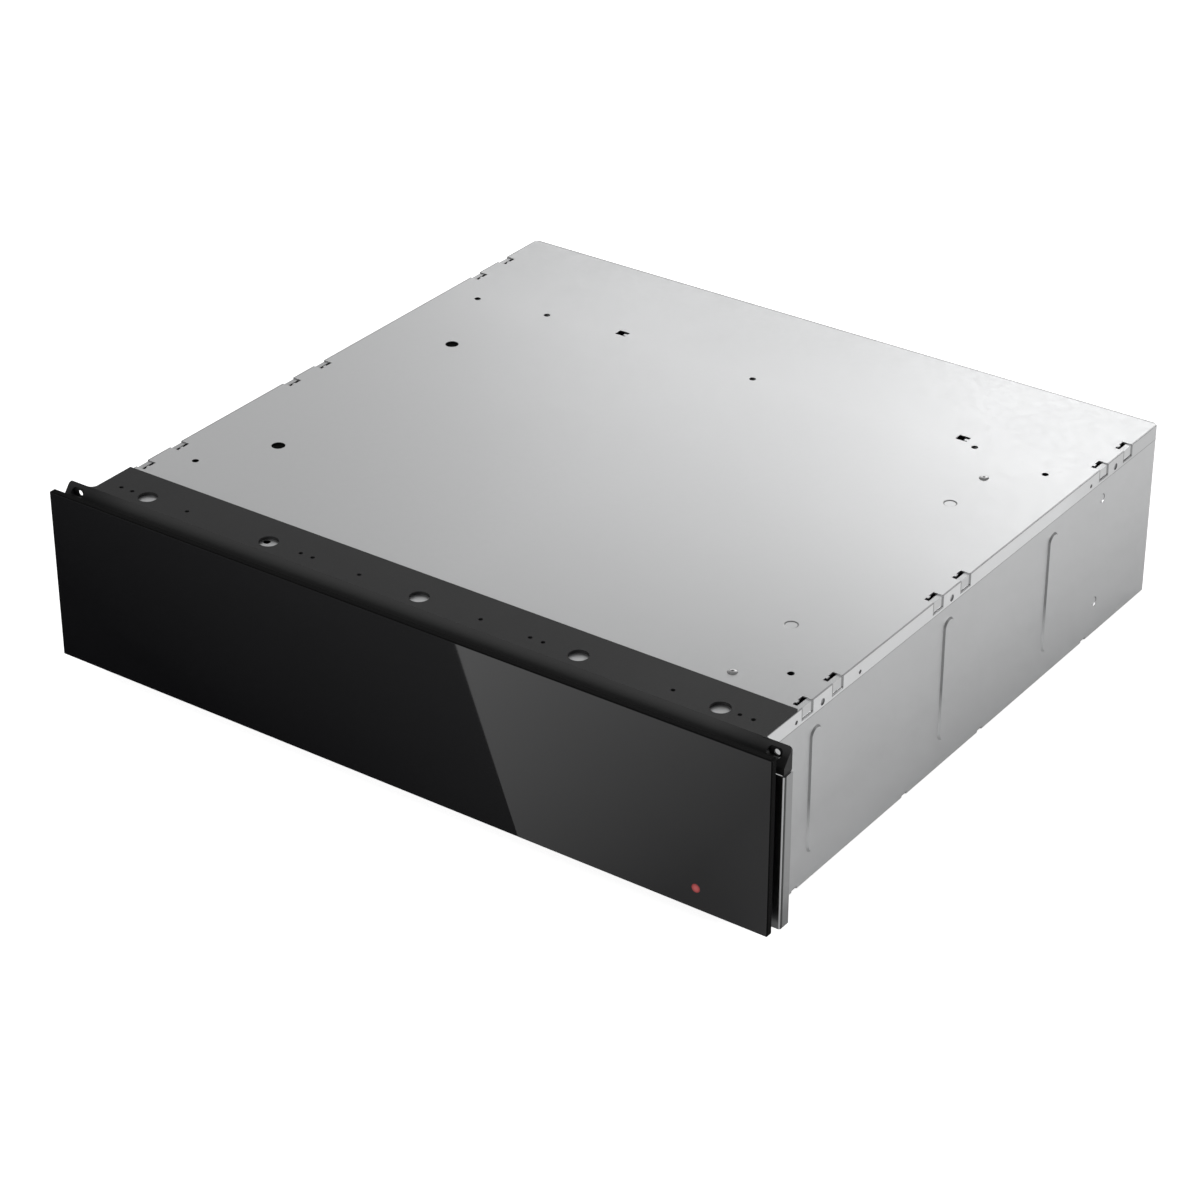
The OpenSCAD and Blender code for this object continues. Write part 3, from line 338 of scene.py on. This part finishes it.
def panel_painted_shading(finish):
    x, y, z = parts(finish)
    side = abs(x)
    # A painted lighter tone on each panel's lower part, most at the front.
    low = ramp(finish, z, 0.05, 0.0) * (1 - 0.65 * ramp(finish, y, -0.21, -0.02))
    # Painted light on the beads' walls, painted shade towards their tops, and painted shade in the dimples'
    # walls.
    painted_slope = slanted(side, PANEL_X, PANEL_X + BEAD_HEIGHT)
    painted_upper_slope_shade = painted_slope * ramp(finish, z, 0.035, 0.062)
    painted_dimple_shade = slanted(side, PANEL_X - DIMPLE_DEPTH, PANEL_X)
    # A painted shadow on the strip right under the cover's flange.
    flat = between(side, PANEL_X - 2 * LEVEL, PANEL_X + 2 * LEVEL)
    shade = flat * between(z, FLANGE_Z - 0.0017, FLANGE_Z)
    return (low, 1.3), (painted_slope, 1.12), (painted_upper_slope_shade, 0.45), (painted_dimple_shade, 0.42), (shade, 0.5)


def column_painted_shading(finish):
    x, y, z = parts(finish)
    side = abs(x)
    # Painted shade on the outer face near the foot, a painted dark line and a painted highlight along the
    # rounded front edge, and painted shade on the front face.
    painted_foot_shade = (side > COLUMN_X - 0.0002) * ramp(finish, z, 0.032, 0.02)
    line = (side > COLUMN_X - 0.0007) * between(y, EDGE_Y, LINE_Y)
    edge = (side > COLUMN_X - 0.0011) * (y < EDGE_Y)
    front = (side < COLUMN_X - 0.0012) * (y < FRONT_Y)
    return (painted_foot_shade, 0.73), (line, 0.17), (edge, 1.5), (front, 0.55)


print("beads stand out by", BEAD_HEIGHT * 1000, "mm")

# %% [markdown]
# ## Six kinds of steel sheet
# The streaks run along the way each sheet was rolled, so the finish is made once for each direction and once
# for each set of painted light and shade. The columns' grey is a darker copy of the sheet's grey, as painted
# shade. The slides are bright zinc: lighter and smoother.

# %% Six kinds of steel sheet
ALONG_X, ALONG_Y, ALONG_Z = (1, 24, 24), (24, 1, 24), (60, 60, 1)
GREY, ZINC_GREY = (0.485, 0.488, 0.492), (0.62, 0.64, 0.66)
# The columns' grey is painted darker than the panels': painted shade.
SHADED_GREY = tuple(c * 0.62 for c in GREY)
cover_steel = galvanised("galvanised_cover_painted_shading", GREY, 0.40, ALONG_Y, cover_painted_shading)
panel_steel = galvanised("galvanised_panels_painted_shading", GREY, 0.40, ALONG_Y, panel_painted_shading)
sheet_steel = galvanised("galvanised_sheet", GREY, 0.40, ALONG_Y)
upright_steel = galvanised("galvanised_uprights_painted_shading", SHADED_GREY, 0.33, ALONG_Z, column_painted_shading)
cross_steel = galvanised("galvanised_crosswise", GREY, 0.40, ALONG_X)
zinc = galvanised("bright_zinc", ZINC_GREY, 0.28, ALONG_Y)
steels = (cover_steel, panel_steel, sheet_steel, upright_steel, cross_steel, zinc)
print("steel finishes:", [steel.name for steel in steels])

# %% [markdown]
# ## Stainless and aluminium
# The drawer box is brushed stainless steel. Brushing draws fine parallel lines, so the noise is stretched far
# more than on the rolled sheet and its bump is a little deeper.

# %% Brushed metals
def brushed(name, light, rough, streak, depth):
    finish = Finish(name, Metallic=1.0)
    fine = finish.noise(90.0, 6.0, streak)
    broad = finish.noise(14.0, 3.0, streak)
    dark = tuple(c * 0.86 for c in light)
    finish.set(Base_Color=finish.tint(fine * 0.7 + broad * 0.3, dark, light))
    finish.set(Roughness=rough + fine * 0.12)
    finish.bump(fine, depth, 0.0003)
    return finish.material


stainless = brushed("brushed_stainless", (0.63, 0.62, 0.60), 0.22, (1, 60, 60), 0.12)
aluminium = brushed("spun_aluminium", (0.72, 0.73, 0.74), 0.26, (30, 30, 1), 0.08)
element_steel = brushed("heat_tinted_steel", (0.24, 0.19, 0.15), 0.34, (1, 20, 20), 0.1)
rivet_steel = brushed("rivet_aluminium", (0.34, 0.34, 0.34), 0.22, (1, 1, 8), 0.04)
screw_steel = brushed("screw_zinc", (0.55, 0.56, 0.57), 0.25, (1, 1, 30), 0.05)
brushed_metals = (stainless, aluminium, element_steel, rivet_steel, screw_steel)
print("brushed finishes:", [metal.name for metal in brushed_metals])

# %% [markdown]
# ## Powder coat
# The front rail and the tray behind the glass are powder-coated. The powder melts to a skin like orange peel:
# a soft bump a millimetre or so across, with a satin gloss that hardly changes. The slope along the rail's
# front gets a painted sheen between its two ears: a mask paints a lighter grey there that fades towards the
# ears.

# %% Powder coat
RAIL_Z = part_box("front_rail")[1][2]
SLOPE_Y, SLOPE_Z = -0.247, 0.12
# Where the painted sheen on the rail's front slope is full, and where it has faded out.
PAINTED_SHEEN_X, PAINTED_SHEEN_END_X = 0.24, 0.275


def powder_coat(name, colour, rough, front=None):
    finish = Finish(name, IOR=1.5, Specular_IOR_Level=0.2)
    cloud = finish.noise(25.0, 3.0)
    lighter = tuple(c * 1.25 for c in colour)
    coat = finish.tint(cloud, colour, lighter)
    # A painted sheen: the rail's front slope is painted a lighter grey between its ears.
    if front:
        x, y, z = parts(finish)
        painted_slope = (z < RAIL_Z - 0.00002) * (y < SLOPE_Y) * (z > SLOPE_Z)
        coat = finish.blend(painted_slope * ramp(finish, abs(x), PAINTED_SHEEN_END_X, PAINTED_SHEEN_X), coat, front)
    finish.set(Base_Color=coat, Roughness=rough + cloud * 0.08)
    finish.bump(finish.noise(900.0, 2.0), 0.12, 0.0005)
    return finish.material


# The last colour is the painted sheen on the rail's front slope.
rail_black = powder_coat("black_powder_coat_painted_sheen", (0.011, 0.011, 0.0113), 0.5, (0.032,) * 3)
motor_grey = powder_coat("grey_powder_coat", (0.10, 0.105, 0.11), 0.45)
print("powder coats:", rail_black.name, motor_grey.name)

# %% [markdown]
# ## Black glass
# The front is clear float glass, printed black on its back. What the eye sees is a polished black plate, so a
# dark base under a very smooth, clear reflection looks right and stays opaque from every side. A trace of
# wiped haze changes the roughness slightly, as on any real pane. The pane's ground edges are matt, so a
# second shader takes over a tenth of a millimetre behind its face.

# %% Black glass
GLASS_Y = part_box("glass_front")[0][1]
front_glass = Finish("black_front_glass", IOR=1.5)
haze = front_glass.noise(5.0, 3.0, (1, 1, 3))
front_glass.set(Base_Color=front_glass.tint(haze, (0.0035, 0.0035, 0.004), (0.006, 0.006, 0.0066)))
front_glass.set(Roughness=0.015 + haze * 0.03)
front_glass.bump(front_glass.noise(2.2, 1.0), 0.02, 0.002)

edge = front_glass.add("BsdfPrincipled", {}, {"Specular IOR Level": 0.02}, "BSDF")
ground = front_glass.noise(900.0, 3.0)
front_glass.feed(edge.node.inputs["Base Color"], front_glass.tint(ground, (0.003,) * 3, (0.006,) * 3))
front_glass.feed(edge.node.inputs["Roughness"], 0.5 + ground * 0.2)
behind = parts(front_glass)[1] > GLASS_Y + 0.0001
front_glass.end(front_glass.add("MixShader", {}, {0: behind, 1: front_glass.shader_wire(), 2: edge}))
print("glass:", front_glass.material.name)

# %% [markdown]
# ## Mouldings
# Switches, latches and boxes are moulded plastic. Moulds are etched with a fine grain that keeps the surface
# from shining, and thick and thin places cool to slightly different tones.

# %% Moulded plastic
def moulded(name, colour, rough, grain=1600.0):
    finish = Finish(name, IOR=1.46)
    cloud = finish.noise(30.0, 3.0)
    darker = tuple(c * 0.9 for c in colour)
    finish.set(Base_Color=finish.tint(cloud, darker, colour))
    finish.set(Roughness=rough + cloud * 0.08)
    finish.bump(finish.noise(grain, 2.0), 0.15, 0.0002)
    return finish.material


fascia_black = moulded("fascia_black", (0.020, 0.020, 0.021), 0.32)
knob_silver = moulded("silver_lacquer", (0.46, 0.47, 0.48), 0.28)
ivory = moulded("ivory_moulding", (0.62, 0.60, 0.54), 0.42)
white = moulded("white_moulding", (0.72, 0.72, 0.70), 0.4)
gland_black = moulded("black_nylon", (0.018, 0.018, 0.018), 0.36)
latch_grey = moulded("grey_acetal", (0.17, 0.175, 0.18), 0.38)
supply_green = moulded("potted_module", (0.09, 0.13, 0.10), 0.5)
mark_white = moulded("printed_mark", (0.75, 0.75, 0.74), 0.5)
mouldings = (fascia_black, knob_silver, ivory, white, gland_black, latch_grey, supply_green, mark_white)
print("mouldings:", [moulding.name for moulding in mouldings])

# %% [markdown]
# ## Rubber and wool
# The anti-slip mat is dark silicone with a dusty bloom. The insulation is yellow glass wool: short fibres
# that lie in layers, so its noise is stretched flat and its bump is strong. Its upper side is painted
# near-black, as painted shade for what shows through the cover's holes.

# %% Rubber and wool
rubber = Finish("silicone_rubber", IOR=1.43, Specular_IOR_Level=0.35)
bloom = rubber.noise(45.0, 5.0)
rubber.set(Base_Color=rubber.tint(bloom, (0.045, 0.045, 0.047), (0.085, 0.085, 0.088)))
rubber.set(Roughness=0.62 + bloom * 0.15)
rubber.bump(rubber.noise(900.0, 3.0), 0.2, 0.0003)

# The depth of the wool's top band that is painted near-black as painted shade.
WOOL_Z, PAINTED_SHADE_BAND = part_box("insulation_mat")[1][2], 0.0008
wool = Finish("glass_wool_painted_dark_top", Roughness=0.95, Specular_IOR_Level=0.05)
fibres = wool.noise(240.0, 8.0, (1, 1, 6))
yellow = wool.tint(fibres, (0.50, 0.40, 0.16), (0.78, 0.70, 0.42))
# The wool's top band is painted near-black: painted shade that shows through the cover's holes.
wool.set(Base_Color=wool.blend(parts(wool)[2] > WOOL_Z - PAINTED_SHADE_BAND, yellow, (0.004,) * 3))
wool.bump(fibres, 0.6, 0.002)
print("soft finishes:", rubber.material.name, wool.material.name)

# %% [markdown]
# ## The indicator light
# A small red lens in the glass glows from a lamp behind it. The light is strongest in its middle, so the
# distance from its axis sets how brightly it glows.

# %% Indicator light
low, high = (Vector(corner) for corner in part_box("indicator_lens"))
centre = (low + high) / 2
lens_r = (high.x - low.x) / 2
lens = Finish("red_lens", Roughness=0.12, IOR=1.49)
across, _, up = parts(lens, tuple(-centre))
away = (across * across + up * up) / lens_r**2
lens.set(Base_Color=lens.tint(away, (0.25, 0.05, 0.05), (0.14, 0.012, 0.012)))
lens.set(Emission_Color=lens.tint(away, (0.62, 0.12, 0.12), (0.16, 0.02, 0.02)))
lens.set(Emission_Strength=0.3)
print("lens radius", round(lens_r * 1000, 1), "mm")

# %% [markdown]
# ## Dress the CAD pieces
# Every piece of the CAD model keeps its shape and gets its finish. The sheet's streaks run front to back on
# the cover, sides and base, because the coil was fed that way, and across on the rear panel.

# %% Assign finishes
dress = {
    cover_steel: "top_cover",
    panel_steel: "left_side_panel right_side_panel",
    upright_steel: "left_column right_column",
    sheet_steel: "base_panel",
    cross_steel: "rear_panel heat_shield air_duct duct_grille front_crossmember strike_plates",
    zinc: "left_outer_runner right_outer_runner left_middle_runner right_middle_runner "
    "left_inner_runner right_inner_runner",
    stainless: "drawer_liner",
    aluminium: "fan_rotor fan_shaft",
    element_steel: "heating_element",
    screw_steel: "housing_screws cover_rivets drawer_screws",
    rail_black: "front_rail front_carrier",
    motor_grey: "fan_motor",
    front_glass.material: "glass_front",
    fascia_black: "control_fascia",
    knob_silver: "temperature_knob power_button",
    ivory: "energy_regulator power_switch thermostat",
    white: "terminal_box terminal_cover indicator_lamp left_latch_plunger right_latch_plunger",
    gland_black: "cable_gland",
    latch_grey: "left_push_latch right_push_latch",
    supply_green: "power_supply",
    rubber.material: "antislip_mat glass_tape",
    wool.material: "insulation_mat",
    lens.material: "indicator_lens",
}
for material, names in dress.items():
    for name in names.split():
        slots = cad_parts[name].data.materials
        slots.clear()
        slots.append(material)
dressed = sum(len(names.split()) for names in dress.values())
print("dressed", dressed, "of", len(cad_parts), "CAD pieces")

# %% [markdown]
# ## A new piece
# Every piece below is made as a bmesh at its place in the drawer, then turned into an object that stays at
# the origin. It gets its finish and the body that it moves with, and the CAD pieces that it replaces are
# hidden.

# %% Make a piece
SHARP = math.radians(35)


def piece(name, mesh, material, body, replaces=()):
    bmesh.ops.remove_doubles(mesh, verts=mesh.verts, dist=1e-6)
    bmesh.ops.recalc_face_normals(mesh, faces=mesh.faces)
    data = bpy.data.meshes.new(name)
    mesh.to_mesh(data)
    mesh.free()
    data.materials.append(material)
    data.shade_smooth()
    data.set_sharp_from_angle(angle=SHARP)
    made = bpy.data.objects.new(name, data)
    bpy.context.scene.collection.objects.link(made)
    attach(made, body)
    if replaces:
        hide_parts(*replaces)
    print(name, "has", len(data.polygons), "faces")


def millimetres(*pairs):
    return [tuple(number / 1000 for number in pair) for pair in pairs]


def turned(profile, steps=32):
    """A bmesh that a lathe would cut: a line of (radius, height) points turned once round the z axis."""
    mesh = bmesh.new()
    verts = [mesh.verts.new((r, 0, z)) for r, z in profile]
    edges = [mesh.edges.new(pair) for pair in zip(verts, verts[1:])]
    bmesh.ops.spin(mesh, geom=verts + edges, cent=(0, 0, 0), axis=(0, 0, 1), angle=math.tau, steps=steps,
                   use_merge=True)
    bmesh.ops.remove_doubles(mesh, verts=mesh.verts, dist=1e-6)
    return mesh


def stamp(mesh, shape, place):
    """Copies a shape into a mesh, at the given place."""
    copy = shape.copy()
    bmesh.ops.transform(copy, matrix=place, verts=copy.verts)
    data = bpy.data.meshes.new("stamp")
    copy.to_mesh(data)
    copy.free()
    mesh.from_mesh(data)
    bpy.data.meshes.remove(data)


print("piece, turned and stamp are ready")

# %% [markdown]
# ## Blind rivets
# Two blind rivets show in the cover's top, near its right side. Each has a low dome with a small hole where
# its mandrel broke off. A lathe is the quickest way to a dome: one half profile, turned round its axis.

# %% Blind rivets
RIVET = millimetres((0, 0.35), (0.9, 0.35), (1.0, 0.85), (1.5, 0.9), (2.5, 0.72), (3.2, 0.4), (3.5, 0.08),
                    (3.5, 0), (1.8, 0), (1.8, -1), (0, -1))
RIVET_R = 0.0035
(left_x, front_y, _), (right_x, rear_y, _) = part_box("cover_rivets")
rivet = turned(RIVET)
mesh = bmesh.new()
for x, y in ((right_x - RIVET_R, front_y + RIVET_R), (left_x + RIVET_R, rear_y - RIVET_R)):
    stamp(mesh, rivet, Matrix.Translation((x, y, COVER_Z)))
piece("rivet_heads", mesh, rivet_steel, "housing", replaces=["cover_rivets"])

# %% [markdown]
# ## Screws with a cross recess
# The rear panel, the columns and the slides are held by pan head screws. The head and shank are turned. The
# cross is a small outline in the middle: bridging it to the head's top ring closes the top round it, and
# extruding its edge downwards, a little narrower, gives the tapered hole that a screwdriver fits.

# %% One screw
HEAD = millimetres((0, -5), (1.9, -5), (1.9, 0), (3.6, 0), (3.55, 0.5), (3.2, 1.1), (2.6, 1.55), (2.1, 1.8))
CROSS = millimetres((0.4, 0.4), (0.4, 1.5), (-0.4, 1.5), (-0.4, 0.4), (-1.5, 0.4), (-1.5, -0.4), (-0.4, -0.4),
                    (-0.4, -1.5), (0.4, -1.5), (0.4, -0.4), (1.5, -0.4), (1.5, 0.4))
CROSS_DEPTH, CROSS_TAPER = 0.0011, 0.65
screw = turned(HEAD, 24)
top = HEAD[-1][1]
ring = [edge for edge in screw.edges if all(abs(vert.co.z - top) < 1e-6 for vert in edge.verts)]
corners = [screw.verts.new((x, y, top)) for x, y in CROSS]
outline = [screw.edges.new(pair) for pair in zip(corners, corners[1:] + corners[:1])]
bmesh.ops.bridge_loops(screw, edges=ring + outline)
sunk = bmesh.ops.extrude_edge_only(screw, edges=outline)["geom"]
sunk_verts = [item for item in sunk if isinstance(item, bmesh.types.BMVert)]
bmesh.ops.scale(screw, vec=(CROSS_TAPER, CROSS_TAPER, 1), verts=sunk_verts)
bmesh.ops.translate(screw, vec=(0, 0, -CROSS_DEPTH), verts=sunk_verts)
bmesh.ops.edgenet_fill(screw, edges=[item for item in sunk if isinstance(item, bmesh.types.BMEdge)
                                     and all(vert in sunk_verts for vert in item.verts)])
print("one screw has", len(screw.faces), "faces")

# %% [markdown]
# The places are those of the CAD model's own screws, which these replace: three on each side of the rear
# panel, two in each column and three in each slide. The rear screws point forwards, with their heads behind
# the panel, and the others point outwards, with their heads inside. Each is turned further than the last,
# because driven screws stop at any angle.

# %% Set the screws
REAR_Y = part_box("rear_panel")[1][1]
REAR_X, REAR_HEIGHTS = 0.269, (0.026, 0.07, 0.108)
UPRIGHT_X, UPRIGHT_Y, UPRIGHT_HEIGHTS = 0.275, -0.2564, (0.0244, 0.1074)
SLIDE_X, SLIDE_Z, SLIDE_PLACES = 0.261, 0.06, (-0.19728, -0.043, 0.11128)
SIDES = (-1, 1)
STEP_ROUND = 37


def turn(axis, degrees):
    return Matrix.Rotation(math.radians(degrees), 4, axis)


def screws(name, places, body, node):
    mesh = bmesh.new()
    for number, (where, lay) in enumerate(places):
        stamp(mesh, screw, Matrix.Translation(where) @ lay @ turn("Z", STEP_ROUND * number))
    piece(name, mesh, screw_steel, body, replaces=[node])


outwards = {side: turn("Y", -90 * side) for side in SIDES}
housing_places = [((side * REAR_X, REAR_Y, z), turn("X", -90)) for side in SIDES for z in REAR_HEIGHTS]
housing_places += [((side * UPRIGHT_X, UPRIGHT_Y, z), outwards[side])
                   for side in SIDES for z in UPRIGHT_HEIGHTS]
screws("housing_screw_heads", housing_places, "housing", "housing_screws")
drawer_places = [((side * SLIDE_X, y, SLIDE_Z), outwards[side]) for side in SIDES for y in SLIDE_PLACES]
screws("drawer_screw_heads", drawer_places, "drawer", "drawer_screws")

# %% [markdown]
# ## Studs on the anti-slip mat
# The silicone mat has rows of small round studs that keep plates from sliding and let warm air pass under
# them. A short cone of ten sides is enough for each, because there are hundreds.

# %% Mat studs
STUD_FOOT, STUD_TOP, STUD_TALL, STUD_LIFT = 0.0024, 0.0014, 0.0008, 0.0003
STUD_STEP, STUD_EDGE = 0.016, 0.014
stud = bmesh.new()
bmesh.ops.create_cone(stud, cap_ends=True, segments=10, radius1=STUD_FOOT, radius2=STUD_TOP, depth=STUD_TALL,
                      matrix=Matrix.Translation((0, 0, STUD_LIFT)))
(mat_left, mat_front, _), (mat_right, mat_rear, mat_top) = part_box("antislip_mat")
mesh = bmesh.new()
rows = int((mat_rear - mat_front - 2 * STUD_EDGE) / STUD_STEP)
columns = int((mat_right - mat_left - 2 * STUD_EDGE) / STUD_STEP)
for row in range(rows + 1):
    for column in range(columns + 1 - row % 2):
        x = (column - (columns - row % 2) / 2) * STUD_STEP
        y = (mat_front + mat_rear) / 2 + (row - rows / 2) * STUD_STEP
        stamp(mesh, stud, Matrix.Translation((x, y, mat_top)))
piece("mat_studs", mesh, rubber.material, "drawer")

# %% [markdown]
# ## Marks on the control strip
# The strip over the trough is printed: a ring of short lines round the temperature knob, a dot at its off
# place, and the usual sign for power beside the button. Print has almost no height, so each mark is a plate
# five hundredths of a millimetre thick, cut from a turned ring or a small block.

# %% Printed marks
PRINT_T = 0.00005
TICK_SIZE, TICK_R, TICK_STEP = (0.0013, 0.0005, PRINT_T), 0.0125, 30
BAR_SIZE, BAR_Y = (0.0005, 0.0022, PRINT_T), 0.0021
DOT_R, DOT_AT = 0.0007, 0.0142
RING_IN, RING_OUT, RING_ARC, RING_TURN = 0.0018, 0.0023, math.radians(290), 125
SIGN_GAP = 0.006
LINE_SIZE, LINE_X = (0.0065, 0.0007, PRINT_T), 0.005
fascia_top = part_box("control_fascia")[1][2]
knob_low, knob_high = (Vector(corner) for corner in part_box("temperature_knob"))
button_low, button_high = (Vector(corner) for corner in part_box("power_button"))
knob_at = (knob_low + knob_high) / 2
button_at = (button_low + button_high) / 2


def plate(size, at):
    mesh = bmesh.new()
    bmesh.ops.create_cube(mesh, size=1, matrix=Matrix.Translation(at) @ Matrix.Diagonal((*size, 1)))
    return mesh


tick = plate(TICK_SIZE, (TICK_R, 0, 0))
bar = plate(BAR_SIZE, (0, BAR_Y, PRINT_T / 2))
dot = bmesh.new()
bmesh.ops.create_cone(dot, cap_ends=True, segments=20, radius1=DOT_R, radius2=DOT_R, depth=PRINT_T)
ring = bmesh.new()
square = ((RING_IN, 0), (RING_OUT, 0), (RING_OUT, PRINT_T), (RING_IN, PRINT_T))
ring.faces.new([ring.verts.new((r, 0, z)) for r, z in square])
bmesh.ops.spin(ring, geom=ring.faces[:], cent=(0, 0, 0), axis=(0, 0, 1), angle=RING_ARC, steps=30)
print("one tick is", TICK_SIZE[0] * 1000, "mm long")

# %% [markdown]
# The marks are stamped into one mesh round the knob's and the button's own middles. The line on the knob is a
# piece of its own, because it turns with the knob.

# %% Set the marks
mesh = bmesh.new()
knob_place = Matrix.Translation((knob_at.x, knob_at.y, fascia_top + PRINT_T / 2))
for number in range(1, 10):
    stamp(mesh, tick, knob_place @ turn("Z", -TICK_STEP * number))
stamp(mesh, dot, knob_place @ Matrix.Translation((DOT_AT, 0, 0)))
sign_place = Matrix.Translation((button_low.x - SIGN_GAP, button_at.y, fascia_top))
stamp(mesh, ring, sign_place @ turn("Z", RING_TURN))
stamp(mesh, bar, sign_place)
piece("printed_marks", mesh, mark_white, "drawer")
line = plate(LINE_SIZE, (knob_at.x + LINE_X, knob_at.y, knob_high.z + PRINT_T / 2))
piece("knob_line", line, mark_white, "knob")

# %% [markdown]
# ## The table
# The floor is pale and wide. Light Path adds white to it for the camera and for reflections alone, so the
# background is white while the drawer's shadow on the floor stays. For reflections, the part that the glass
# mirrors, just in front of the drawer, is a painted pool of light that falls off towards the right, which
# gives the black front its soft shading.

# %% Floor
def sheet_on_floor(name, corners, height, finish):
    mesh = bmesh.new()
    mesh.faces.new([mesh.verts.new((x, y, height)) for x, y in corners])
    data = bpy.data.meshes.new(name)
    mesh.to_mesh(data)
    mesh.free()
    data.materials.append(finish.material)
    made = bpy.data.objects.new(name, data)
    bpy.context.scene.collection.objects.link(made)
    return made


POOL_X, POOL_Y, POOL_FADE_X, POOL_FADE_Y = 0.36, -0.62, 12, 8
POOL_LOW, POOL_HIGH, OUTSIDE = 0.01, 1.1, 0.3
FLOOR, FLOOR_Z = [(-30, -30), (30, -30), (30, 30), (-30, 30)], -0.0005
paper = Finish("white_paper", Base_Color=(0.80, 0.80, 0.80, 1), Roughness=0.9, Specular_IOR_Level=0.0)
x, y, _ = parts(paper)
near = paper.held((POOL_X - abs(x)) * POOL_FADE_X, 0, 1) * paper.held((y - POOL_Y) * POOL_FADE_Y, 0, 1)
# A painted pool of light that only reflections see, falling off towards the right.
pool = paper.held(0.78 - x * 3.1 + y * 0.344, POOL_LOW, POOL_HIGH)
pool = OUTSIDE + (pool - OUTSIDE) * near
to_camera = paper.add("LightPath", {}, {}, "Is Camera Ray")
to_gloss = paper.add("LightPath", {}, {}, "Is Glossy Ray")
paper.set(Emission_Color=to_camera * 0.75 + to_gloss * pool, Emission_Strength=1.0)
floor = sheet_on_floor("floor", FLOOR, FLOOR_Z, paper)
print("floor", [round(side, 1) for side in floor.dimensions])

# %% [markdown]
# ## A dark card
# The glass mirrors the table in front of it. A dark card lies there, to the left, and its edge is the
# slanting line across the glass. The card has a painted glow, a little stronger towards that edge. Only
# reflections see it.

# %% Dark card
CARD, CARD_Z = [(0.107, -0.275), (-0.298, -0.654), (-1.2, -0.654), (-1.2, -0.275)], -0.0002
card_paper = Finish("dark_card", Base_Color=(0.01, 0.01, 0.01, 1), Roughness=0.9, Specular_IOR_Level=0.0)
x, y, _ = parts(card_paper)
# A painted glow on the card, stronger towards its slanting edge.
glow = card_paper.sum_of("MAXIMUM", x * 0.314 - y * 0.853 - 0.183, 0.004)
card_paper.set(Emission_Color=glow, Emission_Strength=1.0)
card = sheet_on_floor("dark_card", CARD, CARD_Z, card_paper)
card.visible_camera = card.visible_shadow = card.visible_diffuse = False
print("card", [round(side, 2) for side in card.dimensions])

# %% [markdown]
# ## Sky
# A plain white world fills the shadows evenly. It stays weak, so that the lamps still shape the steel.

# %% Sky
SKY = 0.43
world = bpy.data.worlds.new("studio")
bpy.context.scene.world = world
world.use_nodes = True
background = world.node_tree.nodes["Background"]
background.inputs["Color"].default_value = (1, 1, 1, 1)
background.inputs["Strength"].default_value = SKY
print("world strength", SKY)

# %% [markdown]
# ## Lamps
# Four soft lamps stand behind the drawer. Their reflections in the cover run from dull at its front to bright
# at its rear right corner. A low lamp on the right lights the side panel, and one in front lifts the black
# parts. Wide lamps give the soft edges that small ones would not. All of them face the middle of the drawer's
# underside.

# %% Lamps
LAMPS = {  # name: place in metres, width and height in metres, power in watts
    "rear_low": ((-0.65, 2.5, 1.05), (0.8, 0.8), 8.0),
    "rear_mid": ((-1.0, 2.6, 1.6), (1.6, 1.6), 4.0),
    "rear_side": ((-1.4, 2.4, 0.95), (0.8, 0.8), 4.2),
    "rear_left": ((-2.2, 1.8, 1.2), (1.4, 1.4), 3.9),
    "right_low": ((2.4, 1.6, 0.5), (1.2, 0.9), 42),
    "front": ((-0.3, -2.8, 1.0), (1.4, 1.0), 38),
}


def softbox(name, place, size, power):
    data = bpy.data.lights.new(name, "AREA")
    data.shape = "RECTANGLE"
    data.size, data.size_y = size
    data.energy = power
    lamp = bpy.data.objects.new(name, data)
    lamp.location = place
    lamp.rotation_euler = (Vector((0, 0, 0)) - Vector(place)).to_track_quat("-Z", "Y").to_euler()
    bpy.context.scene.collection.objects.link(lamp)


for name, (place, size, power) in LAMPS.items():
    softbox(name, place, size, power)
